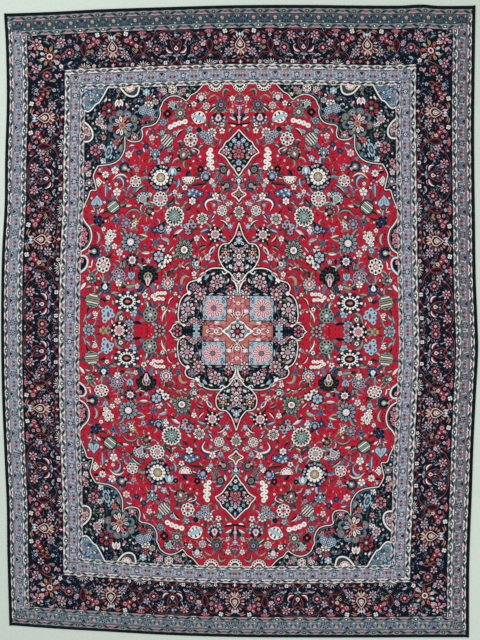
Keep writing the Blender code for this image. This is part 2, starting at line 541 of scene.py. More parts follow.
# The field, charted in blocks of half a metre
field = [
    ("stem", [
        ([(150, 500), (120, 530), (130, 620), (180, 660)],),
        ([(360, 460), (420, 470), (460, 500), (440, 560)],),
        ([(430, 340), (390, 350), (340, 380), (290, 380), (270, 340)],),
        ([(590, 40), (630, 45), (650, 70)], "k", 8), ([(775, 50), (790, 70)], "e", 6),
        ([(250, 0), (300, 0)], "k", 6), ([(835, 340), (830, 300)], "a", 8),
        ([(475, 30), (500, 60), (530, 50)],), ([(700, 240), (740, 230), (780, 200)],),
        ([(555, 260), (600, 250), (620, 200)],), ([(670, 950), (640, 980), (600, 990)],),
    ]),
    ("leaf", [
        (148, 488, 186, 436, 24, "si"), (155, 478, 176, 448, 12, "d", 0, None),
        (145, 402, 180, 392, 14, "as", 0.2), (205, 432, 245, 385, 18, "pu", 0.1),
        (232, 428, 252, 392, 10, "i", -0.1), (198, 488, 250, 462, 14, "ak", 0.15),
        (205, 470, 235, 450, 12, "pw"), (400, 488, 428, 456, 12, "ie", 0.1),
        (300, 392, 334, 372, 16, "ea", 0.1), (330, 368, 365, 385, 14, "ki", -0.1),
        (372, 372, 395, 352, 14, "sd", 0.1), (395, 362, 425, 345, 14, "ea", 0.1),
        (395, 330, 425, 350, 10, "e", 0.1), (430, 315, 430, 350, 14, "ke"), (410, 255, 412, 218, 14, "es"),
        (395, 200, 425, 150, 12, "ki", 0.12), (425, 155, 440, 60, 14, "ak", 0.12),
        (428, 130, 462, 55, 10, "i", 0.12), (470, 158, 492, 140, 12, "ea"), (360, 45, 385, 50, 14, "ap"),
        (490, 270, 494, 245, 12, "si"), (490, 30, 515, 45, 14, "ap"), (515, 455, 545, 450, 16, "ea"),
        (545, 452, 598, 452, 20, "ia"), (565, 385, 600, 375, 12, "ik", 0.1), (590, 420, 592, 395, 12, "k"),
        (735, 370, 785, 340, 14, "ia"), (555, 250, 585, 215, 14, "se", 0.1),
        (575, 260, 590, 225, 12, "bk", 0.1), (625, 275, 710, 262, 16, "ga", -0.1),
        (690, 262, 715, 255, 18, "kd"), (600, 230, 625, 255, 10, "k"), (905, 255, 935, 248, 22, "es"),
        (940, 280, 972, 235, 18, "io"), (735, 222, 790, 210, 12, "ga", 0.15),
        (780, 210, 815, 235, 10, "kb", 0.15), (800, 182, 845, 186, 22, "ke"), (770, 180, 765, 150, 12, "as"),
        (905, 100, 948, 70, 18, "bs", -0.25), (935, 95, 955, 40, 10, "a", -0.1),
        (525, 140, 540, 175, 22, "db", 0.1), (550, 135, 560, 175, 12, "ia", 0.1),
        (510, 30, 525, 50, 16, "sl", 0.1), (590, 42, 640, 48, 12, "k", 0.1), (765, 40, 775, 65, 12, "ia"),
        (900, 412, 905, 370, 8, "i", 0.1), (905, 370, 930, 368, 8, "i", 0.1), (935, 470, 955, 490, 14, "e"),
        (845, 465, 870, 460, 12, "ga"), (800, 440, 830, 430, 12, "km"), (80, 540, 105, 548, 12, "sa"),
        (190, 590, 240, 570, 18, "sb", 0.1), (198, 515, 232, 555, 14, "ki", -0.1),
        (345, 590, 402, 530, 20, "is", 0.15), (380, 560, 405, 535, 8, "k", 0.1),
        (68, 600, 118, 642, 14, "ki", 0.15), (150, 675, 168, 650, 12, "ik", 0.1),
        (150, 645, 175, 628, 14, "bs"), (178, 785, 180, 815, 16, "db"), (205, 860, 290, 850, 14, "ke", 0.05),
        (205, 855, 230, 830, 10, "pa"), (245, 760, 262, 745, 12, "e"), (240, 735, 258, 718, 16, "bs"),
        (318, 750, 345, 735, 14, "es"), (305, 940, 330, 900, 24, "dn"), (245, 898, 275, 892, 12, "ik"),
        (230, 915, 285, 912, 8, "e", 0.1), (378, 895, 392, 835, 18, "sb", -0.1),
        (415, 810, 445, 790, 18, "sb"), (385, 800, 405, 812, 14, "i"), (405, 780, 370, 740, 16, "aik", 0.15),
        (405, 780, 438, 740, 16, "ake", -0.15), (405, 775, 404, 735, 12, "e"), (445, 778, 485, 760, 18, "pb"),
        (425, 515, 480, 535, 22, "sa", 0.1), (300, 725, 325, 700, 14, "ke"), (280, 675, 305, 655, 12, "ig"),
        (88, 970, 128, 980, 16, "bs"), (60, 945, 68, 905, 16, "si"), (345, 860, 352, 835, 12, "k"),
        (285, 585, 300, 560, 16, "e"), (250, 585, 285, 590, 10, "e", 0.1),
        (585, 860, 655, 805, 18, "kai", 0.1), (642, 845, 668, 808, 20, "hb", 0.1),
        (575, 955, 600, 930, 16, "ae"), (580, 930, 585, 965, 14, "ea"), (670, 945, 690, 975, 10, "ek"),
        (790, 965, 820, 985, 24, "db"), (800, 855, 828, 835, 18, "ie"), (800, 838, 820, 850, 8, "i"),
        (835, 870, 838, 790, 22, "bsd", -0.08), (825, 915, 840, 895, 18, "k"), (862, 935, 892, 938, 14, "k"),
        (870, 722, 900, 715, 10, "ua", 0.1), (880, 735, 895, 720, 10, "ua", -0.1),
        (845, 715, 870, 695, 14, "oi"), (900, 705, 928, 704, 12, "ig"), (508, 730, 560, 755, 14, "ai", 0.1),
        (515, 755, 545, 780, 12, "be", 0.1), (668, 738, 720, 735, 18, "ia"), (705, 740, 728, 725, 14, "ke"),
        (690, 785, 745, 765, 10, "u", 0.1), (650, 605, 672, 595, 14, "ai"), (660, 800, 680, 780, 16, "ea"),
        (783, 670, 800, 645, 14, "ag"), (562, 545, 612, 560, 14, "ia", 0.1), (715, 560, 735, 575, 14, "sb"),
        (955, 730, 970, 745, 16, "gi"), (145, 1408, 195, 1380, 12, "ga", 0.15),
        (150, 1348, 170, 1340, 12, "ai"), (148, 1332, 185, 1300, 14, "ike", 0.1),
        (45, 1195, 62, 1172, 24, "ea"), (350, 1195, 392, 1150, 18, "kik", 0.1),
        (352, 1120, 385, 1118, 14, "bs", 0.1), (440, 1150, 476, 1075, 12, "bs", -0.1),
        (410, 1040, 438, 1060, 14, "de"), (270, 1055, 300, 1075, 12, "ig"), (250, 1040, 285, 1035, 18, "de"),
        (108, 1130, 122, 1090, 16, "ba"), (222, 1095, 250, 1075, 18, "es"), (415, 1310, 440, 1335, 12, "e"),
        (405, 1360, 380, 1375, 12, "ia"), (200, 1420, 225, 1432, 12, "ag"), (185, 1235, 190, 1205, 14, "e"),
        (570, 1200, 582, 1165, 12, "il", 0.1), (600, 1090, 590, 1062, 10, "i"),
        (655, 1105, 690, 1098, 12, "il", 0.2),
    ]),
    ("curl", [
        ([(300, 315), (325, 322), (345, 305), (348, 275), (340, 250)], 18, "ga"),
        ([(105, 752), (150, 772), (195, 765), (213, 735), (192, 697)], 24, "id"),
        ([(770, 905), (745, 915), (722, 890), (722, 850)], 24, "dsk"),
        ([(700, 905), (730, 925), (765, 920), (795, 895)], 14, "gi"),
        ([(612, 690), (640, 712), (680, 708), (712, 672)], 16, "ae"),
        ([(885, 580), (868, 560), (865, 530), (880, 505)], 14, "as"),
        ([(865, 105), (875, 80), (895, 70)], 14, "ik"),
        ([(55, 1425), (85, 1440), (100, 1425), (100, 1395)], 20, "ea"),
        ([(262, 1035), (250, 1055), (265, 1070), (300, 1082)], 12, "di"), ([(875, 108), (895, 100)], 18, "i"),
    ]),
    ("rosette", [
        (335, 468, 56, "akipc", 12), (905, 305, 30, "adepi", 9), (665, 37, 29, "sbpqi"),
        (228, 652, 36, "ieapq"), (700, 630, 31, "ldlbi"), (668, 515, 58, "xbois", 12),
        (207, 1340, 24, "ikop"), (370, 1300, 34, "akicc", 10), (115, 1345, 34, "mklw", 10),
        (475, 1245, 22, "sdbs", 7), (170, 1170, 30, "ioap"), (475, 0, 36, "apwpc"), (915, 0, 36, "sbacp", 9),
    ]),
    ("wheel", [
        (835, 385, 46, "ikpo"), (400, 668, 62, "ikas", 14), (105, 700, 33, "ieap"), (648, 883, 37, "ikpp", 7),
        (300, 1130, 44, "ikpw"), (190, 1125, 28, "skcc", 6), (222, 1160, 26, "skcc", 6),
        (490, 773, 47, "ikpl", 11), (535, 95, 46, "akxo", 9), (735, 322, 42, "lkmo", 11),
    ]),
    ("aster", [
        (147, 558, 44, "ikopa"), (488, 903, 78, "lnigs", 12), (725, 0, 52, "ikopc"), (655, 410, 35, "bnipq"),
    ]),
    ("posy", [
        (400, 668, 37, "at", 11), (400, 668, 17, "sg"), (192, 425, 20, "oc"), (475, 475, 22, "op", 3),
        (360, 380, 12, "ga"), (272, 336, 16, "ia"), (355, 255, 18, "bd"), (383, 218, 11, "io", 3),
        (455, 133, 14, "id"), (390, 120, 12, "pw"), (555, 405, 15, "si"), (735, 455, 22, "op"),
        (768, 490, 18, "ip"), (810, 475, 18, "sb"), (570, 210, 18, "ik"), (620, 262, 17, "op"),
        (735, 282, 22, "ip"), (640, 105, 24, "sa"), (640, 122, 14, "ik"), (715, 75, 14, "ik"),
        (925, 305, 12, "ia"), (800, 195, 14, "ia"), (825, 0, 26, "gb"), (715, 300, 14, "lk"),
        (875, 96, 16, "ia"), (260, 535, 18, "ip"), (70, 647, 14, "ia"), (55, 607, 17, "si"),
        (145, 785, 22, "ip"), (155, 732, 11, "si"), (95, 778, 17, "sb"), (52, 742, 14, "ia"),
        (70, 738, 14, "op"), (120, 890, 18, "mb"), (170, 874, 19, "io"), (155, 850, 16, "si"),
        (240, 948, 20, "nc"), (338, 840, 18, "id"), (375, 950, 15, "na"), (400, 815, 14, "ia"),
        (370, 790, 18, "si"), (435, 592, 19, "io", 3), (435, 572, 10, "ip"), (135, 925, 14, "ma"),
        (640, 955, 18, "pa"), (778, 955, 24, "ip"), (838, 930, 23, "im", 8), (770, 868, 12, "ip"),
        (765, 820, 26, "is"), (705, 818, 12, "bs"), (555, 800, 13, "ip"), (640, 636, 22, "gi"),
        (650, 620, 16, "ik"), (575, 595, 16, "sk"), (480, 585, 22, "dp", 6), (520, 585, 22, "dl", 6),
        (765, 642, 20, "bk"), (840, 595, 14, "ip"), (515, 512, 17, "be"), (45, 1385, 18, "ia"),
        (285, 1355, 18, "id"), (312, 1345, 14, "ni"), (365, 1352, 12, "bs"), (450, 1298, 26, "nc", 4),
        (130, 1298, 12, "nd"), (105, 1220, 15, "ip"), (105, 1180, 19, "ie"), (305, 1200, 17, "sb"),
        (400, 1175, 14, "sb"), (435, 1070, 14, "pb"), (450, 1012, 20, "si"), (250, 1190, 15, "nd"),
        (545, 1150, 20, "op"), (580, 1100, 18, "dm"), (625, 1060, 17, "dm"), (690, 1050, 24, "oa", 6),
        (540, 1190, 14, "ea"), (480, 1180, 16, "sg"), (300, 1040, 12, "ns"),
    ]),
    ("fan", [
        (258, 390, 30, "sainc", 7, -135), (432, 280, 40, "sicip", 11, 180, 1, 300),
        (555, 318, 62, "ndgsp", 9), (820, 258, 36, "bdisa", 7, 180), (75, 848, 32, "bdgcs", 9, 60, 1, 260),
        (205, 903, 34, "sblsk", 7, -35), (600, 775, 42, "siaps", 8, -30), (716, 968, 34, "dbgis", 7, -60),
        (895, 460, 36, "dkaip", 8, 90, 1, 260), (240, 1393, 34, "opisb"), (345, 1040, 44, "acmie", 7, 20),
        (130, 1262, 46, "swobt", 7, 180), (480, 600, 30, "sdlpd", 7, 180), (525, 1048, 34, "sabis"),
        (420, 1352, 30, "siaas", 6, -20), (558, 700, 34, "gdtai", 7, -60),
    ]),
    ("palmette", [
        (677, 172, 78, "idikc", 90, 0.78, "k", 16), (875, 645, 40, "nbdkb", -45, 0.7),
        (95, 943, 26, "ekaem", 0, 1),
    ]),
    ("tulip", [(657, 325, 24, "sba"), (415, 940, 30, "sia", 180), (715, 385, 20, "aek", 180)]),
    ("halfWheel", [(315, 900, 42, "ikoi", 7, 180), (150, 1478, 50, "ikws", 8, 180)]),
    ("striped", [
        (895, 175, 46, "aiag", 8), (785, 728, 44, "eaia", -40, 1, "k", 6),
        (450, 1130, 42, "aioi", -50, 1, "k", 4),
    ]),
    ("posies", [
        ([(435, 418), (470, 388)], 26, "iw"), ([(492, 430)], 32, "sq"),
        ([(280, 612), (325, 608), (315, 575), (296, 632)], 20, "lk"),
        ([(240, 800), (265, 812), (290, 820), (310, 800), (278, 790)], 19, "bi"), ([(290, 757)], 23, "ip"),
        ([(775, 555), (800, 575), (815, 545), (792, 530), (810, 512)], 18, "ip"),
        ([(885, 900), (870, 885), (898, 882), (882, 868)], 13, "ik", 4),
    ]),
    ("cloud", [
        ([(448, 222), (470, 222), (492, 221), (508, 212)], 12),
        ([(460, 188), (483, 190), (508, 186), (524, 204)], 12),
        ([(165, 955), (185, 975), (168, 992), (188, 1010), (170, 1028), (188, 1045), (176, 1064)], 16),
        ([(338, 1245), (375, 1237), (402, 1228), (430, 1214)], 17),
    ]),
]


def serrated(u0, v0, u1, v1, width, teeth, dyes):
    # a toothed leaf: dark and ivory teeth either side of a blue blade
    path = bent(u0, v0, u1, v1, 0.05, teeth)
    outer = leafOutline(path, width, 0.5)
    lay(grown(outer, knotLine), "k")
    lay(outer, dyes[0])
    reach = [width * 0.8 * math.sin(math.pi * (i + 0.3) / (teeth + 0.6)) for i in range(teeth + 1)]
    for side in sides(path, reach):
        for i in range(teeth):
            (x, y), (a, b) = side[i], path[i]
            lay([(x, y), side[i + 1], ((path[i + 1][0] + a) / 2, (path[i + 1][1] + b) / 2)], dyes[1 + i % 2])
    lay(leafOutline(path, width * 0.34, 0.4), dyes[3])


def oakFlower(u, v, r):
    # the sky flower of round lobes with an indigo dot in each
    spots = [(0.1, 0.98), (-0.5, 0.55), (0.62, 0.5), (-0.75, -0.1), (0.55, -0.25), (0.45, -0.95)]
    for x, y in spots:
        dot(u + r * x, v + r * y, 0.52 * r, "k", 9)
    lay([(u + 0.6 * r * p, v + 0.95 * r * q) for p, q in disc(9)], "s")
    for x, y in spots:
        dot(u + r * x, v + r * y, 0.43 * r, "s", 9)
        dot(u + r * x, v + r * y, 0.18 * r, "d", 5)
    lay([(u - 0.1 * r + 0.24 * r * p, v + 0.5 * r * q) for p, q in disc(6)], "u")
    lay([(u - 0.1 * r + 0.12 * r * p, v + 0.3 * r * q) for p, q in disc(6)], "r")


def spade(u, v, r):
    # the sky heart on its stalk
    put = setDown(u, v, r)
    put([(0, 1), (0.35, 0.55), (0.85, 0.0), (0.95, -0.5), (0.6, -0.85), (0.2, -0.6), (0, -0.35), (-0.2, -0.6),
         (-0.6, -0.85), (-0.95, -0.5), (-0.85, 0.0), (-0.35, 0.55)], "s", True)
    for x in (-0.5, 0.0, 0.5):
        put([(x - 0.07, -0.4), (x + 0.07, -0.4), (x * 0.5 + 0.06, 0.45), (x * 0.5 - 0.06, 0.45)], "b")
    for side in (-1, 1):
        leaf(u + side * r * 0.9, v - r * 0.9, u + side * r * 0.1, v - r * 1.15, 9, "ua", side * -0.2)
        leaf(u + side * r * 0.6, v - r * 1.0, u + side * r * 0.3, v - r * 1.6, 9, "ie")


def arch(u, v, r):
    # the navy peacock flower: spiked rim, gold horseshoe, sky and pink inside
    put = setDown(u, v, r)
    sepals(u, v, r * 0.9, 180, "k")
    rim = [(0.14, -1.0), (-0.14, -1.0), (-0.42, -0.55), (-0.75, -0.35), (-0.72, -0.1), (-1.05, 0.12),
           (-0.8, 0.35), (-0.86, 0.62), (-0.5, 0.62), (-0.42, 0.95), (-0.14, 0.8), (0, 1.12), (0.14, 0.8),
           (0.42, 0.95), (0.5, 0.62), (0.86, 0.62), (0.8, 0.35), (1.05, 0.12), (0.72, -0.1), (0.75, -0.35),
           (0.42, -0.55)]
    put(rim, "n", True)
    petals(put, "e", 9, 0.82, 0.14, 0.07, 230)
    petals(put, "d", 8, 0.66, 0.07, 0.06, 200)
    put(lobed(9, 0.56, 0.2), "k")
    put(lobed(9, 0.49, 0.2), "g")
    put(disc(9, 0.34), "k")
    put(drop(0.42, 0.6, -0.08), "s")
    put(disc(6, 0.12), "b")
    put([(-0.3, -0.3), (0, -0.1), (0.3, -0.3), (0.1, -0.9), (-0.1, -0.9)], "o")
    put([(-0.1, -0.3), (0, -0.2), (0.1, -0.3), (0.03, -0.8), (-0.03, -0.8)], "q")


print("drawing the field")
drawAll(field)
arch(555, 318, 58)
serrated(208, 1243, 300, 1283, 82, 8, "ikis")
oakFlower(800, 95, 38)
spade(890, 765, 38)

# Lobed panels: an ivory line round a navy ground
spandrel = {
    "darkLine": 18, "ivoryLine": 5.5, "pocketLine": 10,  # widths
    "line": [
        [(225, 1478), (270, 1430), (305, 1410), (320, 1388), (335, 1376)],
        [(335, 1376), (360, 1395), (400, 1410), (440, 1405), (475, 1380), (488, 1350)],
        [(488, 1350), (498, 1330), (495, 1300), (505, 1265), (525, 1238), (560, 1224), (595, 1220),
         (612, 1208)],
        [(612, 1208), (604, 1170), (615, 1138), (650, 1128), (690, 1136), (717, 1162)],
        [(717, 1162), (716, 1090), (730, 1050), (752, 1020), (785, 1000), (830, 990), (885, 985)],
        [(885, 985), (905, 950), (915, 920), (908, 890), (896, 842)],
        [(896, 842), (900, 832), (932, 830), (945, 790), (958, 760), (972, 720)],
    ],
    "chart": [
    ("leaf", [
        (715, 1375, 700, 1345, 14, "ip"), (745, 1075, 735, 1115, 26, "am"), (782, 1082, 776, 1110, 14, "gi"),
        (640, 1360, 655, 1345, 12, "gi"), (530, 1415, 545, 1405, 12, "i"), (800, 1255, 815, 1225, 16, "pu"),
        (700, 1440, 720, 1400, 14, "ea", 0.1), (760, 1440, 775, 1410, 16, "gu"),
        (590, 1345, 610, 1300, 12, "eb"), (935, 1100, 955, 1070, 14, "ek"), (935, 1290, 955, 1275, 20, "ea"),
        (900, 1320, 925, 1300, 16, "um"), (865, 1010, 840, 1030, 14, "ek"),
        (925, 960, 955, 930, 12, "im", 0.1), (925, 985, 955, 965, 14, "ea"),
        (640, 1400, 670, 1375, 14, "bu", 0.1), (835, 1410, 850, 1385, 14, "oi"),
        (795, 1400, 800, 1360, 10, "e"),
    ]),
    ("rosette", [
        (570, 1355, 30, "ioai"), (820, 1330, 46, "qweai", 6), (570, 1402, 20, "qpwp", 6),
        (880, 1262, 28, "olpki"), (902, 1085, 34, "pqeca", 6), (655, 1157, 24, "pqip", 6),
        (525, 1376, 18, "olpk", 6), (940, 880, 24, "lkoi"), (960, 800, 26, "blki"),
    ]),
    ("wheel", [
        (558, 1308, 30, "sdqo"), (604, 1325, 30, "sdqo"), (480, 1440, 24, "okqi", 6),
        (420, 1450, 28, "iepw", 6),
    ]),
    ("posy", [
        (585, 1438, 24, "si", 6), (605, 1257, 18, "qc"), (700, 1350, 10, "pl"), (750, 1140, 12, "ci"),
        (860, 1105, 18, "ow"), (885, 1040, 15, "wq"), (840, 1225, 18, "li"), (860, 1230, 14, "iw"),
        (770, 1130, 20, "ct"), (850, 1015, 20, "io"), (545, 1270, 14, "pw"), (575, 1275, 20, "tw"),
        (640, 1250, 10, "ga"), (500, 1420, 16, "qp"), (370, 1430, 22, "ap"), (350, 1445, 16, "pc"),
        (310, 1440, 12, "ea"), (325, 1412, 12, "ip"), (735, 1310, 18, "lp"), (770, 1300, 14, "ub"),
        (960, 970, 14, "po"), (945, 1000, 18, "pw"), (945, 935, 18, "ol"), (850, 1160, 16, "pw"),
        (900, 1180, 14, "ea"), (615, 1385, 12, "mp"), (760, 1455, 18, "ma"),
    ]),
    ("tulip", [(757, 1378, 28, "ipk", 180, 1.1)]),
    ("palmette", [(818, 1072, 66, "sdsdg", 15, 0.5, "k", 9)]),
    ],
    "far": [
    ("posy", [
        (900, 1400, 16, "sb"), (930, 1430, 18, "sb"), (860, 1450, 14, "hb"), (955, 1360, 14, "sb"),
        (900, 1455, 16, "hb"), (945, 1385, 14, "hb"), (925, 1385, 12, "eb"), (880, 1425, 12, "eb"),
        (940, 1455, 14, "eb"),
    ], "d"),
    ("rosette", [
        (965, 1460, 34, "sbhdi", 6), (900, 1408, 18, "sbhdi", 6), (955, 1375, 14, "sbhdi", 6),
        (880, 1448, 12, "sbhdi", 6),
    ], "d"),
    ("dot", [
        (925, 1415, 7, "c"), (915, 1455, 8, "g"), (955, 1410, 10, "c"), (940, 1350, 7, "p"),
        (915, 1385, 7, "e"), (895, 1430, 6, "i"), (935, 1400, 6, "i"), (865, 1435, 6, "p"),
    ]),
    ],
}


def bigPalmette(u, v, r, turn):
    # the many-coloured flower in each corner: teal rim of lobes, gold lobes, radiating petals
    lobes = [(-0.72, 0.85), (-0.95, 0.2), (-0.62, -0.5), (0.1, -0.85), (0.85, -0.45), (0.95, 0.25),
             (0.55, 0.9), (-0.1, 1.0)]
    put = setDown(u, v, r, turn, 1.0, "k")
    for x, y in lobes:
        put([(x + 0.38 * p, y + 0.38 * q) for p, q in disc(9)], "h", True)
    put(disc(12, 0.98), "e")
    for k, (x, y) in enumerate(lobes):
        put([(0.98 * x + 0.22 * p, 0.98 * y + 0.22 * q) for p, q in starry(5, 1, 0.6)], "gegtgego"[k])
        put([(0.98 * x + 0.13 * p, 0.98 * y + 0.13 * q) for p, q in disc(5)], "tk"[k % 2])
    put(disc(12, 0.84), "k")
    petals(put, "piolwoialsw", 11, 0.56, 0.28, 0.14)
    petals(put, "wquekqegwbp", 11, 0.60, 0.14, 0.05)
    put(disc(8, 0.3), "g")
    put(starry(6, 0.24, 0.5), "q")


def fieldCorner():
    print("drawing a corner piece")
    line = spandrel["line"]
    edge = [spot for run in line for spot in smooth(run)]
    lay(edge + [(970, 720), (970, 1471), (225, 1471)], "n")
    drawAll(spandrel["chart"])
    bigPalmette(735, 1232, 72, 20)
    # blue quarter in the far corner, behind its own ivory line
    quarter = smooth([(830, 1478), (845, 1450), (862, 1418), (886, 1380)])
    quarter += smooth([(886, 1380), (905, 1372), (930, 1342), (952, 1328), (974, 1335)])
    lay(quarter + [(972, 1471), (835, 1471)], "f")
    drawAll(spandrel["far"])
    stripe(quarter, 16, "k")
    stripe(quarter, 8.5, "i")
    # pockets on the field's edge
    pocket = smooth([(974, 1262), (948, 1240), (925, 1205), (922, 1165), (942, 1142), (974, 1140)])
    lay(pocket, "u")
    rosette(962, 1205, 26, "opcqi", 6)
    posy(945, 1185, 12, "oe")
    top = smooth([(630, 1472), (640, 1432), (662, 1416), (690, 1418), (715, 1432), (735, 1455), (752, 1476)])
    lay(top, "e")
    halfWheel(690, 1476, 36, "oqip", 6, 180)
    for curve in (pocket, top):
        stripe(curve, spandrel["darkLine"], "k")
        stripe(curve, spandrel["pocketLine"], "i")
    for run in line:
        stripe(smooth(run), spandrel["darkLine"], "k")
    for run in line:
        stripe(smooth(run), spandrel["ivoryLine"], "i")
    for run in line[1:5]:
        stripe([(u + 12, v + 10) for u, v in smooth(run)][2:-2], 4.5, "m")


fieldCorner()


def sideMedallion():
    # half medallions on the long sides of the field, and the small panel between
    print("drawing the side panels")
    large = smooth([(974, 662), (955, 632), (928, 602), (915, 565), (915, 530), (926, 500), (944, 476),
                    (974, 458)])
    lay(large, "n")
    for u, v, r in ((958, 535, 18), (950, 565, 13), (962, 590, 12), (945, 520, 10), (962, 500, 13),
                    (966, 562, 14)):
        posy(u, v, r, "pq", line="n")
    stripe(large, 18, "k")
    stripe(large, 7.5, "i")
    stripe([(u + 11, v) for u, v in large[3:-3]], 3.5, "m")
    small = smooth([(974, 432), (948, 430), (932, 405), (938, 372), (955, 352), (974, 338)])
    lay(small, "n")
    posy(968, 405, 15, "pc", line="n")
    stripe([(950, 415), (955, 390), (966, 372)], 10, "k")
    stripe(small, 19, "k")
    stripe(small, 13, "s")
    stripe(small, 6, "i")


sideMedallion()

# The medallion, its pendant and what stands above it
medallion = {
    "darkLine": 19, "ivoryLine": 6,  # widths
    "line": [
        [(82, 350), (88, 360), (105, 366), (150, 367), (185, 358), (212, 338), (236, 304)],
        [(236, 304), (270, 296), (298, 286), (312, 268), (314, 246), (302, 226)],
        [(302, 226), (330, 210), (348, 185), (358, 155), (362, 120), (364, 90), (355, 55), (327, 32)],
        [(327, 32), (345, 42), (368, 45), (392, 32), (402, 12), (416, 0)],
    ],
    "pendant": [
        [(0, 631.5), (12, 590), (30, 545), (55, 512), (66, 504)],
        [(66, 504), (98, 500), (118, 480), (125, 448), (121, 415), (105, 385), (85, 362), (72, 352)],
    ],
    "cross": [
    ("spark", [
        (50, 120, 20, "o"), (48, 119, 10, "i"), (28, 150, 12, "p"), (50, 85, 12, "g"), (20, 100, 10, "p"),
        (30, 180, 14, "p"), (125, 50, 20, "o"), (123, 49, 10, "i"), (85, 52, 12, "g"), (160, 35, 14, "p"),
        (165, 55, 10, "t"), (190, 25, 12, "g"), (60, 150, 7, "e"), (15, 130, 6, "w"), (45, 190, 7, "u"),
        (100, 30, 6, "e"), (150, 20, 6, "w"), (65, 100, 6, "q"), (145, 58, 6, "e"), (200, 50, 7, "u"),
    ]),
    ("leaf", [
        (0, 75, 20, 140, 12, "iq", -0.2), (30, 75, 62, 105, 10, "qi", 0.2), (62, 130, 40, 180, 10, "qp", 0.2),
        (0, 160, 30, 200, 10, "ip", -0.2), (80, 0, 130, 20, 14, "iq", 0.2), (130, 0, 175, 15, 12, "ip", 0.2),
        (150, 55, 200, 45, 10, "qp", -0.2), (100, 35, 140, 30, 8, "qo", 0.2),
    ], "w"),
    ("posy", [
        (0, 105, 17, "ie", 6), (130, 0, 17, "ie", 6), (180, 0, 13, "ib", 6), (0, 165, 13, "ib", 6),
    ], "w"),
    ],
    "knots": [  # single knots strewn over the cross
        (22, 88), (58, 96), (38, 136), (12, 122), (62, 160), (20, 165), (40, 196), (14, 190), (88, 12),
        (100, 48), (112, 34), (140, 36), (152, 54), (176, 30), (186, 52), (204, 20), (172, 8), (118, 14),
        (80, 62), (34, 106),
    ],
    "square": [
    ("posy", [
        (88, 190, 11, "bi", 4), (198, 190, 11, "gi", 4), (198, 82, 11, "ei", 4), (88, 82, 10, "bi", 4),
        (96, 104, 8, "gi", 4), (204, 112, 8, "ai", 4), (90, 172, 8, "ei", 4), (128, 198, 7, "gi", 4),
        (164, 199, 8, "bi", 4), (80, 136, 7, "ei", 4), (206, 148, 7, "bi", 4), (130, 73, 7, "ai", 4),
        (166, 72, 8, "bi", 4), (202, 168, 7, "ai", 4),
    ], "h"),
    ],
    "ring": [
    ("stem", [
        ([(70, 340), (140, 345), (185, 315), (195, 265)], "k", 8),
        ([(225, 190), (290, 185), (345, 160), (345, 90)], "m", 3),
        ([(140, 345), (180, 330), (200, 290)], "m", 3), ([(230, 170), (235, 120), (250, 90)], "m", 3),
        ([(330, 190), (345, 130), (340, 80)], "u", 3),
    ]),
    ("leaf", [
        (145, 338, 170, 330, 14, "gi"), (180, 330, 205, 300, 20, "sa", 0.1), (200, 340, 225, 325, 18, "si"),
        (62, 310, 68, 285, 14, "ig"), (290, 200, 330, 170, 18, "sp", 0.1), (270, 190, 300, 182, 10, "g"),
        (30, 245, 0, 225, 26, "si", 0.2), (305, 50, 320, 30, 14, "oq"), (215, 200, 200, 180, 20, "lp"),
        (60, 385, 40, 365, 20, "si"), (88, 215, 130, 222, 10, "gp"), (150, 222, 180, 214, 10, "ao"),
        (185, 290, 195, 262, 12, "ue"), (222, 155, 225, 110, 12, "mo"), (272, 88, 262, 104, 10, "pe"),
        (330, 110, 345, 85, 10, "ae"), (60, 345, 90, 335, 10, "ea"), (250, 270, 262, 285, 10, "ae"),
    ]),
    ("rosette", [
        (130, 289, 40, "oapud"), (305, 128, 44, "osplb", 9), (232, 218, 36, "otcis", 9),
        (273, 259, 24, "lqpu", 6), (165, 245, 16, "pqwo", 5), (50, 252, 23, "qpco", 6),
        (46, 212, 24, "oipk", 6), (225, 50, 20, "lqpk", 6), (266, 60, 22, "iqpc", 6),
        (330, 73, 20, "iqep", 6), (253, 155, 12, "pqwo", 5), (0, 430, 44, "oqiep", 9, 0, 0.85),
        (83, 452, 27, "gcotk", 6), (78, 415, 22, "oisp", 6), (26, 318, 22, "onpk", 6),
        (368, 0, 32, "pqwqi", 7),
    ], "n"),
    ("posy", [
        (0, 523, 22, "si", 6), (0, 562, 16, "pi", 3), (30, 475, 12, "pw"), (100, 475, 10, "ea"),
        (45, 490, 12, "sb"), (22, 505, 10, "oq"), (250, 22, 24, "sg", 6), (286, 92, 10, "ea"),
        (300, 40, 12, "pq"), (212, 240, 10, "pq"), (215, 262, 10, "wp"), (105, 400, 8, "pw"),
        (20, 365, 16, "pi"), (0, 330, 14, "is"), (0, 275, 18, "ip"), (0, 390, 12, "is"), (197, 45, 12, "tg"),
        (5, 225, 18, "sb"), (290, 175, 9, "ea"), (345, 145, 9, "lp"),
    ], "n"),
    ("curl", [([(6, 215), (8, 255), (25, 290), (45, 300)], 10, "i")]),
    ],
}


